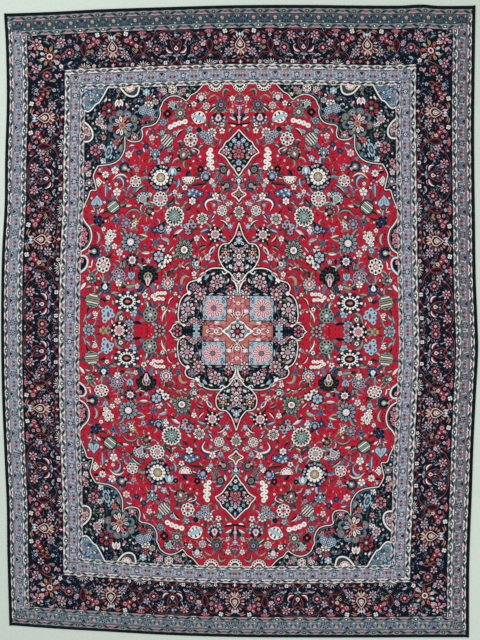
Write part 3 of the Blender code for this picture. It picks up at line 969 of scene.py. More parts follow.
def drawMedallion():
    print("drawing the medallion")
    edge = [spot for run in medallion["line"] for spot in smooth(run)]
    pendant = [spot for run in medallion["pendant"] for spot in smooth(run)]
    for run in medallion["line"] + medallion["pendant"]:
        stripe(smooth(run), medallion["darkLine"], "k")
    lay([(0, 360), (60, 360)] + edge + [(0, 0)], "n")
    lay(pendant + [(45, 320), (0, 300)], "n")
    # coral cross
    cross = [[(0, 205), (45, 205), (70, 185), (74, 68), (0, 0)],
             [(0, 0), (74, 68), (190, 60), (212, 40), (212, 0)]]
    for arm in cross:
        lay(arm, "c")
    drawAll(medallion["cross"])
    for u, v in medallion["knots"]:
        dot(u, v, 5.5, "keaxm"[(u + v) % 5], 5)
    # ivory star in the middle
    star = [(0, 92), (12, 64), (36, 54), (50, 38), (70, 20), (100, 0), (0, 0)]
    lay(grown(star, 4), "k")
    lay(star, "i")
    lay([(0, 72), (10, 54), (34, 44), (44, 30), (60, 12), (76, 0), (0, 0)], "x")
    for x, y in ((0, 62), (34, 36), (66, 0)):
        dot(x, y, 11, "m")
        dot(x, y, 6, "b")
    rosette(0, 0, 44, "opnci", 8, line="n")
    dot(0, 0, 20, "n", 10)
    dot(0, 0, 12, "q", 8)
    # light-blue square with its pinwheel flower
    square = [(72, 62), (92, 68), (118, 63), (145, 67), (172, 63), (198, 68), (216, 62), (211, 90),
              (216, 118), (211, 145), (216, 172), (212, 190), (218, 210), (196, 205), (170, 210), (145, 206),
              (118, 210), (94, 205), (70, 209), (74, 186), (70, 160), (75, 134), (70, 108), (75, 84)]
    lay(grown(square, 5), "k")
    lay(square, "s")
    drawAll(medallion["square"])
    put = setDown(147, 136, 58, line=None)
    for wide, half, dye in ((0.25, 0.42, "o"), (0.18, 0.36, "r"), (0.09, 0.27, "o"), (0.03, 0.16, "s")):
        petals(put, dye, 9, 0.60, half, wide, 360, 10)
    put(disc(9, 0.30), "w")
    put(disc(8, 0.22), "h")
    drawAll(medallion["ring"])
    # ivory lines over everything
    for run in medallion["line"] + medallion["pendant"]:
        stripe(smooth(run), medallion["ivoryLine"], "i")
    stripe(smooth([(72, 350), (80, 338), (94, 338), (100, 350)]), 7, "i")
    stripe(smooth([(72, 352), (52, 340), (35, 318), (20, 300), (0, 293)]), 6, "i")
    for u, v, r in ((238, 302, 13), (300, 224, 13), (327, 34, 9), (246, 292, 7)):
        lay([(u + r * x, v + r * y) for x, y in lobed(4, 1, 0.2)], "i")
    for ends in ((206, 345, 240, 325), (370, 165, 375, 135), (372, 120, 382, 100), (255, 312, 272, 308),
                 (345, 50, 385, 52)):
        leaf(*ends, 14, "ai")


def drawAxis():
    # what stands over the pendant on the middle line
    print("drawing the middle line")
    posy(0, 655, 16, "si", 4)
    stem([(0, 630), (0, 670)], "k", 5)
    rosette(0, 692.5, 34, "ikace", 8)
    leaf(0, 735, 22, 752, 12, "sk", 0.1)
    lozenge = smooth([(0, 846), (14, 815), (45, 796), (16, 775), (0, 752)])
    lay(lozenge, "n")
    rosette(0, 800, 20, "pqge", 6, line="n")
    posy(28, 796, 9, "gi", line="n")
    posy(0, 828, 8, "ea", line="n")
    stripe(lozenge, 15, "k")
    stripe(lozenge, 7.5, "i")
    fan(0, 877, 27, "sbils")
    cartouche = [
        [(0, 1186), (20, 1164), (42, 1142), (62, 1122), (80, 1112), (90, 1096), (98, 1080), (115, 1064),
         (126, 1046)],
        [(126, 1046), (104, 1034), (85, 1020), (70, 1000), (50, 970), (30, 948), (14, 922), (0, 906)],
    ]
    edge = smooth(cartouche[0], 3) + smooth(cartouche[1], 3)
    stripe(edge, 18, "k")
    lay(edge, "n")
    drawAll([
        ("leaf", [
            (0, 1135, 0, 1168, 14, "lb"), (45, 1080, 60, 1110, 14, "ea"), (25, 1000, 45, 985, 14, "ea"),
            (45, 1010, 70, 1020, 12, "gi"), (70, 1075, 85, 1088, 12, "ai"),
        ]),
        ("rosette", [(0, 1055, 40, "pqcdb"), (78, 1055, 22, "oipc", 6)], "n"),
        ("posy", [
            (28, 1120, 16, "si"), (0, 985, 18, "sb"), (0, 1105, 12, "op"), (52, 1030, 10, "pw"),
            (28, 965, 10, "sp"), (0, 945, 12, "ip"), (50, 1095, 10, "sk"), (22, 1020, 11, "cp"),
            (100, 1050, 9, "pc"),
        ], "n"),
    ])
    for run in cartouche:
        stripe(smooth(run), 7, "i")
    # palmette over the cartouche
    drawAll([
        ("leaf", [
            (0, 1225, 60, 1300, 24, "nd", 0.15), (0, 1220, 65, 1230, 16, "nk", -0.1),
            (22, 1245, 62, 1268, 18, "ia", 0.1), (35, 1290, 60, 1320, 24, "ip", 0.1),
            (20, 1212, 55, 1218, 12, "i", -0.1),
        ]),
    ])
    stripe([(0, 1215), (0, 1335)], 24, "k")
    stripe([(0, 1225), (0, 1320)], 14, "p")
    drawAll([
        ("posy", [
            (0, 1265, 12, "oi"), (0, 1325, 16, "si", 4), (48, 1303, 12, "ok"), (0, 1380, 14, "mb"),
            (0, 1415, 10, "ag"),
        ]),
        ("leaf", [(0, 1365, 22, 1372, 12, "sm", 0.1)]),
        ("halfWheel", [(0, 1474, 48, "ikns", 8, 180)]),
    ])


drawMedallion()
drawAxis()

# The main border: one repeat runs from a large palmette to an ogee, with a strapwork knot between
border = {
    "large": [
    ("leaf", [
        (22, 204, 58, 188, 9, "c", 0.1), (30, 212, 66, 202, 7, "g", 0.1), (60, 150, 84, 184, 12, "ek", 0.1),
        (26, 52, 52, 40, 12, "se", 0.1), (98, 66, 112, 36, 9, "lu", 0.1), (112, 204, 138, 186, 9, "eu", 0.1),
        (82, 120, 108, 124, 8, "tw", 0.2), (120, 96, 138, 78, 8, "hk", 0.1),
    ], None),
    ("burst", [(73, 78, 27, "lomwi", 8)]),
    ("posy", [
        (92, 164, 15, "pw", 6), (121, 150, 15, "ti", 6, 20), (113, 177, 12, "qo", 6), (146, 134, 12, "to", 6),
    ], "w"),
    ("posy", [
        (90, 206, 15, "is", 4, 30), (130, 108, 9, "gn", 4), (152, 104, 9, "gt", 4), (118, 186, 8, "sb", 4),
        (122, 14, 12, "oc"), (150, 170, 11, "pw"), (46, 20, 8, "pt", 4), (88, 14, 8, "at", 4),
    ], None),
    ],
    "knot": [
    ("posy", [
        (0, 58, 9, "sb", 4), (0, 182, 11, "sl", 4), (-38, 140, 12, "lw"), (38, 128, 12, "oq"),
        (-46, 98, 8, "gt", 4), (46, 92, 8, "lu", 4),
    ], None),
    ("leaf", [
        (-24, 190, -50, 206, 10, "tw", 0.1), (24, 190, 50, 206, 10, "tw", -0.1),
        (-30, 60, -48, 78, 9, "ek", 0.1), (30, 60, 48, 78, 9, "ek", 0.1),
    ], None),
    ],
    "ogee": [
    ("leaf", [
        (24, 80, 62, 114, 17, "iq", -0.2), (30, 68, 60, 76, 10, "pu", -0.2), (58, 128, 66, 150, 9, "sb", 0.1),
        (28, 164, 44, 182, 9, "le", 0.1), (98, 172, 118, 160, 10, "ek", 0.1),
        (140, 178, 152, 156, 10, "gm", 0.1), (150, 190, 172, 178, 11, "tw", 0.2),
        (120, 62, 136, 74, 8, "es", 0.1),
    ], None),
    ("burst", [(74, 178, 28, "poqwi", 7, 10), (166, 138, 22, "lopm", 5, 10)]),
    ("wheelFlower", [(121, 103, 31)]),
    ("posy", [
        (70, 18, 13, "iq", 4, 45), (147, 16, 10, "sb"), (30, 10, 7, "ca", 4), (0, 202, 9, "hu"),
        (40, 200, 7, "eu", 4), (96, 30, 7, "lu", 4),
    ], None),
    ],
    "arcs": [  # rust and dark lines from an ogee, to either side
        ([(0, 42), (14, 24), (34, 10), (68, 6)], "t", 3.4), ([(0, 30), (10, 18), (24, 6)], "w", 3),
        ([(70, 4), (110, 8), (130, 32), (165, 42), (188, 64), (206, 84)], "t", 3.4),
        ([(112, 0), (138, 22), (170, 32), (194, 52)], "w", 2.6),
        ([(0, 218), (60, 218), (92, 212), (128, 192), (148, 168)], "t", 3.2),
        ([(0, 209), (56, 209), (86, 203), (114, 186)], "u", 3),
        ([(128, 160), (140, 182), (126, 200)], "w", 3.4),
        ([(70, 50), (86, 64), (106, 56)], "o", 4), ([(76, 46), (88, 56), (100, 50)], "l", 2.5),
        ([(207, 86), (230, 74), (255, 76), (278, 56), (290, 30), (320, 24), (360, 26), (397, 44)], "t", 3.4),
        ([(212, 74), (236, 64), (262, 58), (276, 36), (296, 18), (330, 14), (370, 18)], "w", 2.8),
    ],
}


def framed(drawing, place):
    # what a function draws, laid through place, a function from border to rug
    global design
    kept, design = design, []
    drawing()
    drawn, design = design, kept
    for points, dye in drawn:
        lay([place(1000 * x, 1000 * y) for x, y in points], dye)


def largePalmette():
    put = setDown(0, 126, 66, 0, 0.93, None)
    petals(put, "poptopgpo", 18, 0.80, 0.20, 0.085)
    petals(put, "wq", 18, 0.76, 0.12, 0.028)
    for r, wide, dye in ((0.64, 0.85, "i"), (0.58, 0.85, "g"), (0.53, 0.85, "k"), (0.40, 0.8, "e"),
                         (0.33, 0.8, "o"), (0.22, 0.8, "q"), (0.12, 0.8, "i")):
        put(drop(r, wide, 0.03), dye)
    for u, v, a, b, wide, dye in ((0, 92, 0, 52, 9, "g"), (-5, 90, -20, 56, 7, "o"), (5, 90, 20, 56, 7, "o"),
                                  (-8, 94, -34, 66, 6, "t"), (8, 94, 34, 66, 6, "t"),
                                  (-4, 180, -26, 204, 11, "s"), (4, 180, 26, 204, 11, "s"),
                                  (0, 176, 0, 198, 9, "i")):
        leaf(u, v, a, b, wide, dye, line=None)
    for side in (-1, 1):
        leaf(side * 4, 34, side * 20, 48, 8, "c", line=None)
        leaf(side * 3, 4, side * 16, 18, 9, "pw", side * 0.2, None)
    leaf(0, 2, 0, 26, 10, "ip", line=None)


def ogee():
    shape = smooth([(0, 178), (20, 164), (34, 142), (29, 118), (20, 96), (8, 80), (0, 70), (-10, 58)], 3)
    for side in (-1, 1):
        stripe([(side * x, y) for x, y in shape], 4, "t")
        stripe([(side * x * 0.7, y * 0.9 + 12) for x, y in shape[3:-8]], 2.6, "w")
        stripe([(side * 30, 172), (0, 150)], 4, "t")
        leaf(side * 26, 166, side * 42, 168, 8, "pw", line=None)
        leaf(side * 2, 54, side * 24, 62, 15, "sb", side * 0.2, None)
        leaf(side * 12, 126, side * 20, 146, 7, "h", line=None)
    for r, dye in ((19, "k"), (16, "i"), (11, "p"), (6, "u")):
        put = setDown(0, 108, r, 0, 1.0, None)
        put(drop(1.0, 0.8), dye)
    posy(0, 188, 9, "so", 4, line=None)
    leaf(0, 30, 0, 52, 8, "o", line=None)


def strapwork():
    loop = [(-20, 46), (-6, 70), (10, 92), (19, 116), (18, 140), (0, 164)]
    for side in (-1, 1):
        curve = smooth([(side * x, y) for x, y in loop], 3)
        stripe(curve, 3.6, "t")
        stripe([(x * 0.55, y * 0.94 + 6) for x, y in curve[6:]], 2.4, "w")
    # the pale half palmette at its foot and the rose one over it
    for k in range(7):
        a = math.radians(-78 + 26 * k)
        leaf(9 * math.sin(a), 2, 42 * math.sin(a), 3 + 34 * math.cos(a), 11, ("ik", "ow", "ae")[k % 3],
             line=None)
    for k in range(6):
        a = math.radians(-70 + 28 * k)
        leaf(7 * math.sin(a), 219, 30 * math.sin(a), 217 - 27 * math.cos(a), 11, ("qp", "tw", "pw")[k % 3],
             line=None)
    posy(0, 6, 9, "uo", 4, line=None)


def runBorder(large, ogees, knots, limits, place, axis):
    # draws the repeat along one side; limits keep it off the corner
    low, high = limits

    def chartAt(key, middle, way):
        before = len(design)
        framed(lambda: drawAll(border[key]), lambda x, y: place(middle + way * x, y))
        for k in range(len(design) - 1, before - 1, -1):
            along = [1000 * p[axis] for p in design[k][0]]
            if min(along) < low or max(along) > high:
                del design[k]

    for middle in ogees:
        for way in (1, -1):
            for path, dye, width in border["arcs"]:
                run = [(middle + way * x, y) for x, y in path]
                if all(low < x < high for x, y in run):
                    framed(lambda: stripe(smooth(run, 3), width, dye), place)
    for middle in large:
        for way in (1, -1):
            chartAt("large", middle, way)
        framed(largePalmette, lambda x, y: place(middle + x, y))
    for middle in ogees:
        for way in (1, -1):
            chartAt("ogee", middle, way)
        framed(ogee, lambda x, y: place(middle + x, y))
    for middle in knots:
        chartAt("knot", middle, 1)
        framed(strapwork, lambda x, y: place(middle + x, y))


def alongEnd(x, y):
    return x, rug["mainLength"] + y


def alongSide(x, y):
    return rug["mainWidth"] + y, x


print("drawing the main border")
runBorder([0, 795], [397], [190, 605, 975], (-300, 1100), alongEnd, 0)
runBorder([530, 1300], [145, 915], [355, 715, 1120], (-300, 1600), alongSide, 1)

# the flower on the corner's diagonal
drawAll([
    ("curl", [
        ([(1320, 1600), (1322, 1570), (1300, 1545), (1290, 1530)], 7, "t"),
        ([(1120, 1600), (1130, 1650), (1110, 1690), (1090, 1700)], 7, "t"),
        ([(1165, 1470), (1200, 1490), (1240, 1465), (1275, 1475)], 8, "t"),
        ([(1165, 1485), (1200, 1465), (1240, 1490), (1275, 1470)], 8, "t"),
        ([(1140, 1600), (1180, 1610), (1220, 1600), (1260, 1570)], 6, "t"),
        ([(1090, 1730), (1130, 1740), (1160, 1765), (1175, 1790)], 6, "t"),
    ], None),
    ("leaf", [
        (1190, 1755, 1225, 1775, 16, "ea", 0.1), (1300, 1775, 1325, 1790, 16, "ea", 0.1),
        (1240, 1640, 1270, 1665, 14, "ea", 0.1), (1150, 1600, 1180, 1620, 14, "es", 0.1),
        (1285, 1675, 1310, 1700, 20, "pl", 0.3), (1165, 1790, 1205, 1800, 16, "pl", 0.3),
        (1235, 1795, 1260, 1800, 12, "se", 0.1), (1050, 1640, 1080, 1620, 14, "ls", 0.1),
        (1145, 1540, 1160, 1570, 14, "ls", 0.1), (1260, 1700, 1275, 1720, 12, "gc", 0.1),
    ], None),
    ("rays", [(1190, 1680, 64)]),
    ("wheelFlower", [(1066, 1696, 30), (1209, 1560, 30)]),
    ("burst", [
        (1114, 1765, 30, "opwqi"), (1267, 1758, 36, "opqwi"), (1276, 1608, 30, "poqwi"),
        (1245, 1515, 22, "lopu", 6),
    ]),
    ("posy", [
        (1130, 1740, 12, "sb"), (1250, 1620, 12, "sb"), (1145, 1640, 14, "oc"), (1240, 1735, 14, "oc"),
        (1120, 1615, 14, "ip"), (1165, 1470, 12, "sb"), (1275, 1475, 12, "sb"), (1310, 1740, 13, "pq"),
        (1060, 1770, 13, "lq"), (1310, 1640, 12, "lq"), (1130, 1560, 13, "pw"), (1290, 1550, 11, "pw"),
        (1165, 1530, 11, "ge"), (1020, 1731, 16, "lp"),
    ], "n"),
])


def alongStripe(base, flank):
    # from a place along a stripe and a height in it to the rug
    return (lambda x, y: (base + y, x)) if flank else (lambda x, y: (x, base + y))


def guard(stop, first, base, depth, flank, light):
    # a ringed dot at each step and a rose dash halfway, with green leaves that lean towards the dash
    place, step = alongStripe(base, flank), 145

    def shape(points, dye, cx, wide=1.0, tall=1.0, lift=0.0):
        ring = [(cx + wide * p, depth * (0.5 + lift + tall * q)) for p, q in points]
        lay([place(min(max(x, -0.1), stop), y) for x, y in ring], dye)

    almond = [(-1, 0), (-0.5, 0.85), (0.5, 0.85), (1, 0), (0.5, -0.85), (-0.5, -0.85)]
    spear = [(40, -0.30), (62, 0.10), (58, -0.20), (47, -0.46)]
    hook = [(0, 0.34), (10, 0.36), (24, 0.02), (30, 0.16), (16, 0.47), (0, 0.47)]
    foot = [(0, -0.36), (12, -0.30), (16, -0.48), (0, -0.48)]
    blade = [(18, -0.38), (21, -0.08), (38, 0.22), (60, 0.32), (53, 0.06), (38, -0.20)]
    for k in range(-1, int(stop / step) + 2):
        x = first + k * step
        half = x + step / 2
        shape(almond, light[0], half, 26, 0.13, 0.33)
        shape(almond, light[1], half, 20, 0.12, -0.32)
        for side in (-1, 1):
            for points, dye in ((spear, light[0]), (hook, light[0]), (foot, light[2]), (blade, "e"),
                                ([(p * 0.66 + 13, q * 0.6) for p, q in blade], "k")):
                shape([(side * p, q) for p, q in points], dye, x)
            shape(almond, "k", half + side * 14, 7, 0.12)
        shape(disc(8), "k", x, 11, 0.32)
        shape(disc(6), light[3], x, 6, 0.16)
        shape(almond, "qu"[k % 2], half, 10, 0.15)


def flowerBand(stop, first, base, depth, flank, tint):
    # a dark fan, a blossom, a dark star and a blossom, over and over; blue and teal leaves between
    def place(x, y):
        return alongStripe(base, flank)(min(max(x, -0.1), stop), y)

    step, up = 135, depth / 2

    def repeat(x, k):
        put = setDown(x, up, 21, line=None)
        if k % 2:
            for a, b in ((0.85, 0.45), (0.62, -0.05), (0.3, -0.5), (0, -0.95)):
                for side in (-1, 1):
                    put([(side * a + 0.2 * p, b + 0.2 * q) for p, q in disc(5)], "u")
            put([(-0.66, 0.98), (0.66, 0.98), (0.3, 0.35), (0, 0.05), (-0.3, 0.35)], "k")
            put([(-0.3, 0.84), (0.3, 0.84), (0, 0.5)], "e")
            put([(0.2 * p, 0.2 * q - 0.2) for p, q in disc(6)], tint[0])
        else:
            petals(put, "kku", 7, 0.68, 0.3, 0.2)
            put(disc(6, 0.38), tint[1])
            put(disc(5, 0.2), "k")
        for side in (-1, 1):
            leaf(x + side * 25, up * 0.4, x + side * 38, up * 1.5, 14, tint[2] + tint[3], side * 0.2, None)
            leaf(x + side * 32, up * 0.3, x + side * 12, up * 0.18, 7, tint[4] + "k", line=None)
            leaf(x + side * 14, up * 1.8, x + side * 36, up * 1.8, 7, tint[5] + "u", line=None)
            for off, high, r, dye in ((42, 0.3, 4, "i"), (45, 1.8, 4, tint[0]), (24, 1.5, 3.6, "o"),
                                      (8, 0.15, 4, "k"), (50, 1.2, 5, tint[3]), (33, 1.0, 3.6, "k")):
                dot(x + side * off, up * high, r, dye, 5)
        put = setDown(x + step / 2, up * 1.15, 14, line=None)
        for side in (-1, 1):
            put([(side * 0.2, -0.7), (side * 0.7, -1.35), (side * 1.5, -0.7), (side * 0.95, -0.1)], "k")
            put([(side * 0.6, -0.85), (side * 0.9, -1.05), (side * 1.2, -0.7), (side * 0.9, -0.45)], "e")
            put([(side * 0.95, 0.3), (side * 1.7, 0.1), (side * 1.3, 0.8)], tint[2])
        put(lobed(5, 0.94, 0.25), "m")
        put(lobed(5, 0.80, 0.3), tint[6])
        put([(-0.5, 0.1), (0.0, 0.6), (0.45, 0.35), (0.1, -0.3)], tint[7])
        put(disc(5, 0.24), "w")

    for k in range(-1, int(stop / step) + 2):
        framed(lambda: repeat(first + k * step, k), place)


print("drawing the guards and flower bands")
# length of run, first ring, inside edge, depth, whether along a flank, and its pale dyes
for run in ((1004, 5, 1471, 29, False, "ioig"), (1471, 15, 970, 34.5, True, "oxoi"),
            (1099, 130, 1562, 30, False, "iiog"), (1562, 65, 1060.5, 38.5, True, "ixmi"),
            (1360, 120, 1815, 33, False, "xpoi"), (1815, 65, 1327, 33, True, "ixoi"),
            (1444, 145, 1903, 32, False, "xpmg"), (1903, 145, 1416, 28, True, "iomi")):
    guard(*run)
oblong(1360, 1416, 0, 1840, "m")  # the flanks' outer flower band has a greyer ground
# two lights of the ground, leaves and blossoms
for run in ((1060, 85, 1500, 62, False, "oislbpco"), (1500, 80, 1004.5, 56, True, "oislbpco"),
            (1416, 30, 1848, 55, False, "mybeeggo"), (1848, 30, 1360, 56, True, "mlszeqco")):
    flowerBand(*run)


def topDye(centres, outlines):
    # the topmost outline over each triangle's middle
    order = list(wools)
    dyes = np.zeros(len(centres), int)
    x, y = centres[:, 0], centres[:, 1]
    for points, dye in outlines:
        ring = np.array(points)
        low, high = ring.min(0), ring.max(0)
        near = np.nonzero((x >= low[0]) & (x <= high[0]) & (y >= low[1]) & (y <= high[1]))[0]
        if not len(near):
            continue
        inside = np.zeros(len(near), bool)
        px, py = x[near], y[near]
        for (ax, ay), (bx, by) in zip(ring, np.roll(ring, -1, 0)):
            if ay != by:
                inside ^= ((ay > py) != (by > py)) & (px < (bx - ax) * (py - ay) / (by - ay) + ax)
        dyes[near[inside]] = order.index(dye)
    return dyes


# What fills the spare ground: winding stems with small leaves, grown where nothing else is
cell = 4  # millimetres
cellMiddles = np.meshgrid(np.arange(cell / 2, 1330, cell), np.arange(cell / 2, 1820, cell))


def spareGround(dye, width, length, innerWidth=0, innerLength=0):
    # which cells still show this dye, inside one oblong and outside another
    us, vs = cellMiddles
    shown = groundDyes.reshape(us.shape) == list(wools).index(dye)
    return shown & (us < width) & (vs < length) & ~((us < innerWidth) & (vs < innerLength))


def roomAt(free, x, y, r):
    i, j, k = int((x - r) / cell), int((y - r) / cell), math.ceil(2 * r / cell) + 1
    if x - r < 0 or y - r < 0 or i + k > free.shape[1] or j + k > free.shape[0]:
        return False
    return bool(free[j:j + k, i:i + k].all())


def windStems(free, clear, size, leaves, stemDye, tips, seed, reach=8):
    draw = random.Random(seed)
    spots = [(int(i), int(j)) for j, i in np.argwhere(free)]
    draw.shuffle(spots)
    for i, j in spots:
        x, y = (i + 0.5) * cell, (j + 0.5) * cell
        if not roomAt(free, x, y, clear):
            continue
        path, heading = [(x, y)], draw.uniform(0, 6.28)
        for step in range(reach):
            for turn in (0, 0.6, -0.6, 1.2, -1.2):
                a = heading + turn
                nx, ny = x + size * 0.8 * math.cos(a), y + size * 0.8 * math.sin(a)
                if roomAt(free, nx, ny, clear * 0.7):
                    x, y, heading = nx, ny, a + draw.uniform(-0.5, 0.5)
                    path.append((x, y))
                    break
            else:
                break
        if len(path) > 2:
            lay(leafOutline(path, 3.2, 0.2), stemDye)
        for k, (x, y) in enumerate(path):
            (ax, ay), (bx, by) = path[min(k + 1, len(path) - 1)], path[max(k - 1, 0)]
            along = math.atan2(ay - by, ax - bx) if len(path) > 1 else heading
            dye = leaves[draw.randrange(len(leaves))]
            a = along + (1 if k % 2 else -1) * draw.uniform(0.6, 1.1)
            long, wide = size * draw.uniform(0.8, 1.25), size * draw.uniform(0.2, 0.3)
            c, s = math.cos(a), math.sin(a)
            lay([(x + p * long * c - q * wide * s, y + p * long * s + q * wide * c)
                 for p, q in ((0, 0), (0.45, -1), (1, -0.15), (0.5, 0.8))], dye)
        x, y = path[-1]
        pair = tips[draw.randrange(len(tips))]
        if pair != "  " and roomAt(free, x, y, clear * 0.7):
            r = size * draw.uniform(0.40, 0.55)
            dot(x, y, 1.35 * r, stemDye)
            dot(x, y, r, pair[0])
            dot(x, y, 0.4 * r, pair[1], 4)
        for x, y in path:
            i, j, k = int(x / cell), int(y / cell), math.ceil(clear / cell)
            free[max(j - k, 0):j + k + 1, max(i - k, 0):i + k + 1] = False


print("filling the spare ground")
groundDyes = topDye(np.column_stack([middles.ravel() / 1000 for middles in cellMiddles]), design)
redGround, navyGround = spareGround("r", 966, 1467), spareGround("n", 966, 1467)
borderGround = spareGround("n", 1325, 1812, 1101, 1594)
for filling in (
    (redGround, 8, 15, "kewekwekua", "k", ("ik", "  ", "  ", "  ", "  ", "bd"), 3),
    (navyGround, 7, 13, "hamzbesbdm", "e", ("ip", "sw", "oq", "lk", "  ", "  "), 5),
    (navyGround, 4.5, 8, "emhza", "e", ("  ",), 8),
    (borderGround, 8.5, 12, "ehmyhylbma", "d", ("lq", "sw", "lo", "ai", "  ", "  "), 6),
):
    windStems(*filling)


print("the design has", len(design), "outlines")

# From here on in metres
rug = {key: size / 1000 for key, size in rug.items()}
cloth = {
    "pileTop": 0.0100, "pileFoot": 0.0046, "rimDrop": 0.0011,
    "backTop": 0.0045, "backCells": (66, 88),
    # the binding sits 5 mm further out than the drawn outline: its dark wool there is painted shadow along
    # the rug's edge
    "bindingWidth": 0.0160, "bindingHeight": 0.0080, "bindingGap": 0.0003, "bindingSpread": 0.0050,
    "grid": 0.045,  # the cloth's own points, so that it follows the outline
    "slack": 0.00025,  # how far off a straight run a point may lie and be left out
}
# How far each edge strays from its straight line: place along it, bulge
rightEdge = [
    (-1.95, .005), (-1.48, .002), (-1.04, .013), (-.74, .02), (-.44, .031), (-.15, .0425), (0, .037),
    (.3, .023), (.59, .016), (.89, .009), (1.18, .004), (1.48, .003), (1.95, .004),
]
leftEdge = [
    (-1.95, .001), (-1.48, .011), (-1.18, .013), (-.89, .024), (-.44, .0395), (0, .0425), (.44, .0335),
    (.74, .0145), (1.04, .009), (1.33, -.002), (1.48, -.0045), (1.78, .0005), (1.95, .01),
]
topEnd = [
    (-1.46, .0115), (-1.15, .0175), (-.86, .0275), (-.43, .0345), (0, .0385), (.43, .0325), (.72, .0245),
    (1.01, .0185), (1.14, .0225), (1.24, .013), (1.46, .0095),
]
bottomEnd = [
    (-1.46, -.004), (-1.15, .0115), (-.86, .0215), (-.43, .0355), (0, .0385), (.43, .0315), (.86, .0215),
    (1.15, .0135), (1.46, .006),
]
# How the knots drifted: place along, sideways in the middle and near the sides, rise of the right side
drift = [
    (-1.95, 0, 0, 0), (-1.65, -.005, -.002, 0), (-1.4, -.003, 0, -.002), (-1.15, -.003, .0025, -.002),
    (-.9, 0, .003, -.002), (-.65, .0025, .006, -.0045), (-.4, .003, .0085, .0015), (-.15, .0055, .01, 0),
    (.15, .0125, .0155, -.0045), (.4, .0175, .019, -.0045), (.65, .018, .018, -.0045),
    (.9, .015, .019, .0015), (1.15, .015, .016, .0043), (1.4, .0195, .014, .002), (1.65, .026, .016, .001),
    (1.95, .01, 0, 0),
]
# How much lower a row lies than drawn, in the middle and near the sides
sag = [
    (0, .04, .027), (.15, .0365, .026), (.288, .032, .018), (.34, .03, .015), (.4165, .02, .012),
    (.5, .016, .009), (.63, .014, .005), (.8, .01, .004), (.9, .0085, .0035), (1.05, .008, .004),
    (1.18, .008, .005), (1.3, .012, .006), (1.47, .0165, .007), (1.6, .0073, .0065), (1.815, .0055, .0055),
    (1.92, .0015, .0015), (1.94, 0, 0),
]
# How far in the edges pull the cloth, and where between middle and edge the tables hold and fade
loom = {
    "sidePull": 0.56, "endPull": 1.40, "sagFrom": 0.85, "sagOver": 0.25, "driftSide": 0.75,
    "sideCalm": 1.36, "sideFade": 0.45, "endCalm": 1.94, "endFade": 0.1,
}


def bulge(edge, place):
    # a smooth curve through an edge's rows
    places, reach = np.array(edge).T
    at = np.clip(place, places[0], places[-1])
    k = np.clip(np.searchsorted(places, at) - 1, 0, len(edge) - 2)
    low, high = np.maximum(np.arange(len(edge)) - 1, 0), np.minimum(np.arange(len(edge)) + 1, len(edge) - 1)
    slope = (reach[high] - reach[low]) / (places[high] - places[low])
    span = places[k + 1] - places[k]
    q = (at - places[k]) / span
    return (reach[k] * (2 * q**3 - 3 * q**2 + 1) + reach[k + 1] * (3 * q**2 - 2 * q**3)
            + span * slope[k] * (q**3 - 2 * q**2 + q) + span * slope[k + 1] * (q**3 - q**2))


def lieDown(s, t):
    # from the rug as drawn to the floor
    across, along = abs(s) / rug["halfWidth"], abs(t) / rug["halfLength"]
    side = np.where(s > 0, bulge(rightEdge, t), bulge(leftEdge, t))
    end = np.where(t > 0, bulge(topEnd, s), bulge(bottomEnd, s))
    x = abs(s) + side * (across + loom["sidePull"] * (across - across**3))
    y = abs(t) + end * (along + loom["endPull"] * (along - along**3))
    return np.where(s > 0, x, -x), np.where(t > 0, y, -y)


def knotted(u, v):
    # from the design to the floor
    table, sags = np.array(drift), np.array(sag)
    out = np.clip((abs(u) - loom["sagFrom"]) / loom["sagOver"], 0, 1)
    lower = (np.interp(abs(v), sags[:, 0], sags[:, 1]) * (1 - out)
             + np.interp(abs(v), sags[:, 0], sags[:, 2]) * out)
    near, far, rise = (np.interp(v, table[:, 0], table[:, k]) for k in (1, 2, 3))
    share = np.clip(abs(u) / loom["driftSide"], 0, 1)
    fade = np.clip((loom["sideCalm"] - abs(u)) / loom["sideFade"], 0, 1)
    calm = np.clip((loom["endCalm"] - abs(v)) / loom["endFade"], 0, 1)
    s = u + (near * (1 - share) + far * share) * fade * calm
    return lieDown(s, v - lower + rise * u / loom["driftSide"] * calm)


def cut(points, edges, box):
    # triangles between the edges, inside the box, all turned the same way
    u0, u1, v0, v1 = box
    out = delaunay_2d_cdt([Vector(p) for p in points], edges, [], 0, 1e-5, False)
    spots = np.array([tuple(p) for p in out[0]])
    faces = np.array(out[2])
    centres = spots[faces].mean(1)
    inside = ((centres[:, 0] > u0) & (centres[:, 0] < u1) & (centres[:, 1] > v0) & (centres[:, 1] < v1))
    used, back = np.unique(faces[inside], return_inverse=True)
    spots, faces = np.clip(spots[used], (u0, v0), (u1, v1)), back.reshape(-1, 3)
    a, b, c = spots[faces[:, 0]], spots[faces[:, 1]], spots[faces[:, 2]]
    turned = (b[:, 0] - a[:, 0]) * (c[:, 1] - a[:, 1]) - (b[:, 1] - a[:, 1]) * (c[:, 0] - a[:, 0])
    faces[turned < 0] = faces[turned < 0][:, ::-1]
    return spots, faces


def straightened(spots, edges, fixed):
    # leaves out the points that lie on a straight run between their two neighbours
    near = {}
    for a, b in edges:
        near.setdefault(a, set()).add(b)
        near.setdefault(b, set()).add(a)
    for here in sorted(near):
        if here in fixed or len(near[here]) != 2:
            continue
        a, b = near[here]
        ab, ah = spots[b] - spots[a], spots[here] - spots[a]
        run = math.hypot(*ab)
        if a == b or run > cloth["grid"] or run < 1e-6:
            continue
        if abs(ab[0] * ah[1] - ab[1] * ah[0]) / run < cloth["slack"] and b not in near[a]:
            near[a].remove(here)
            near[b].remove(here)
            near[a].add(b)
            near[b].add(a)
            near[here] = set()
    return [(a, b) for a in near for b in near[a] if a < b]


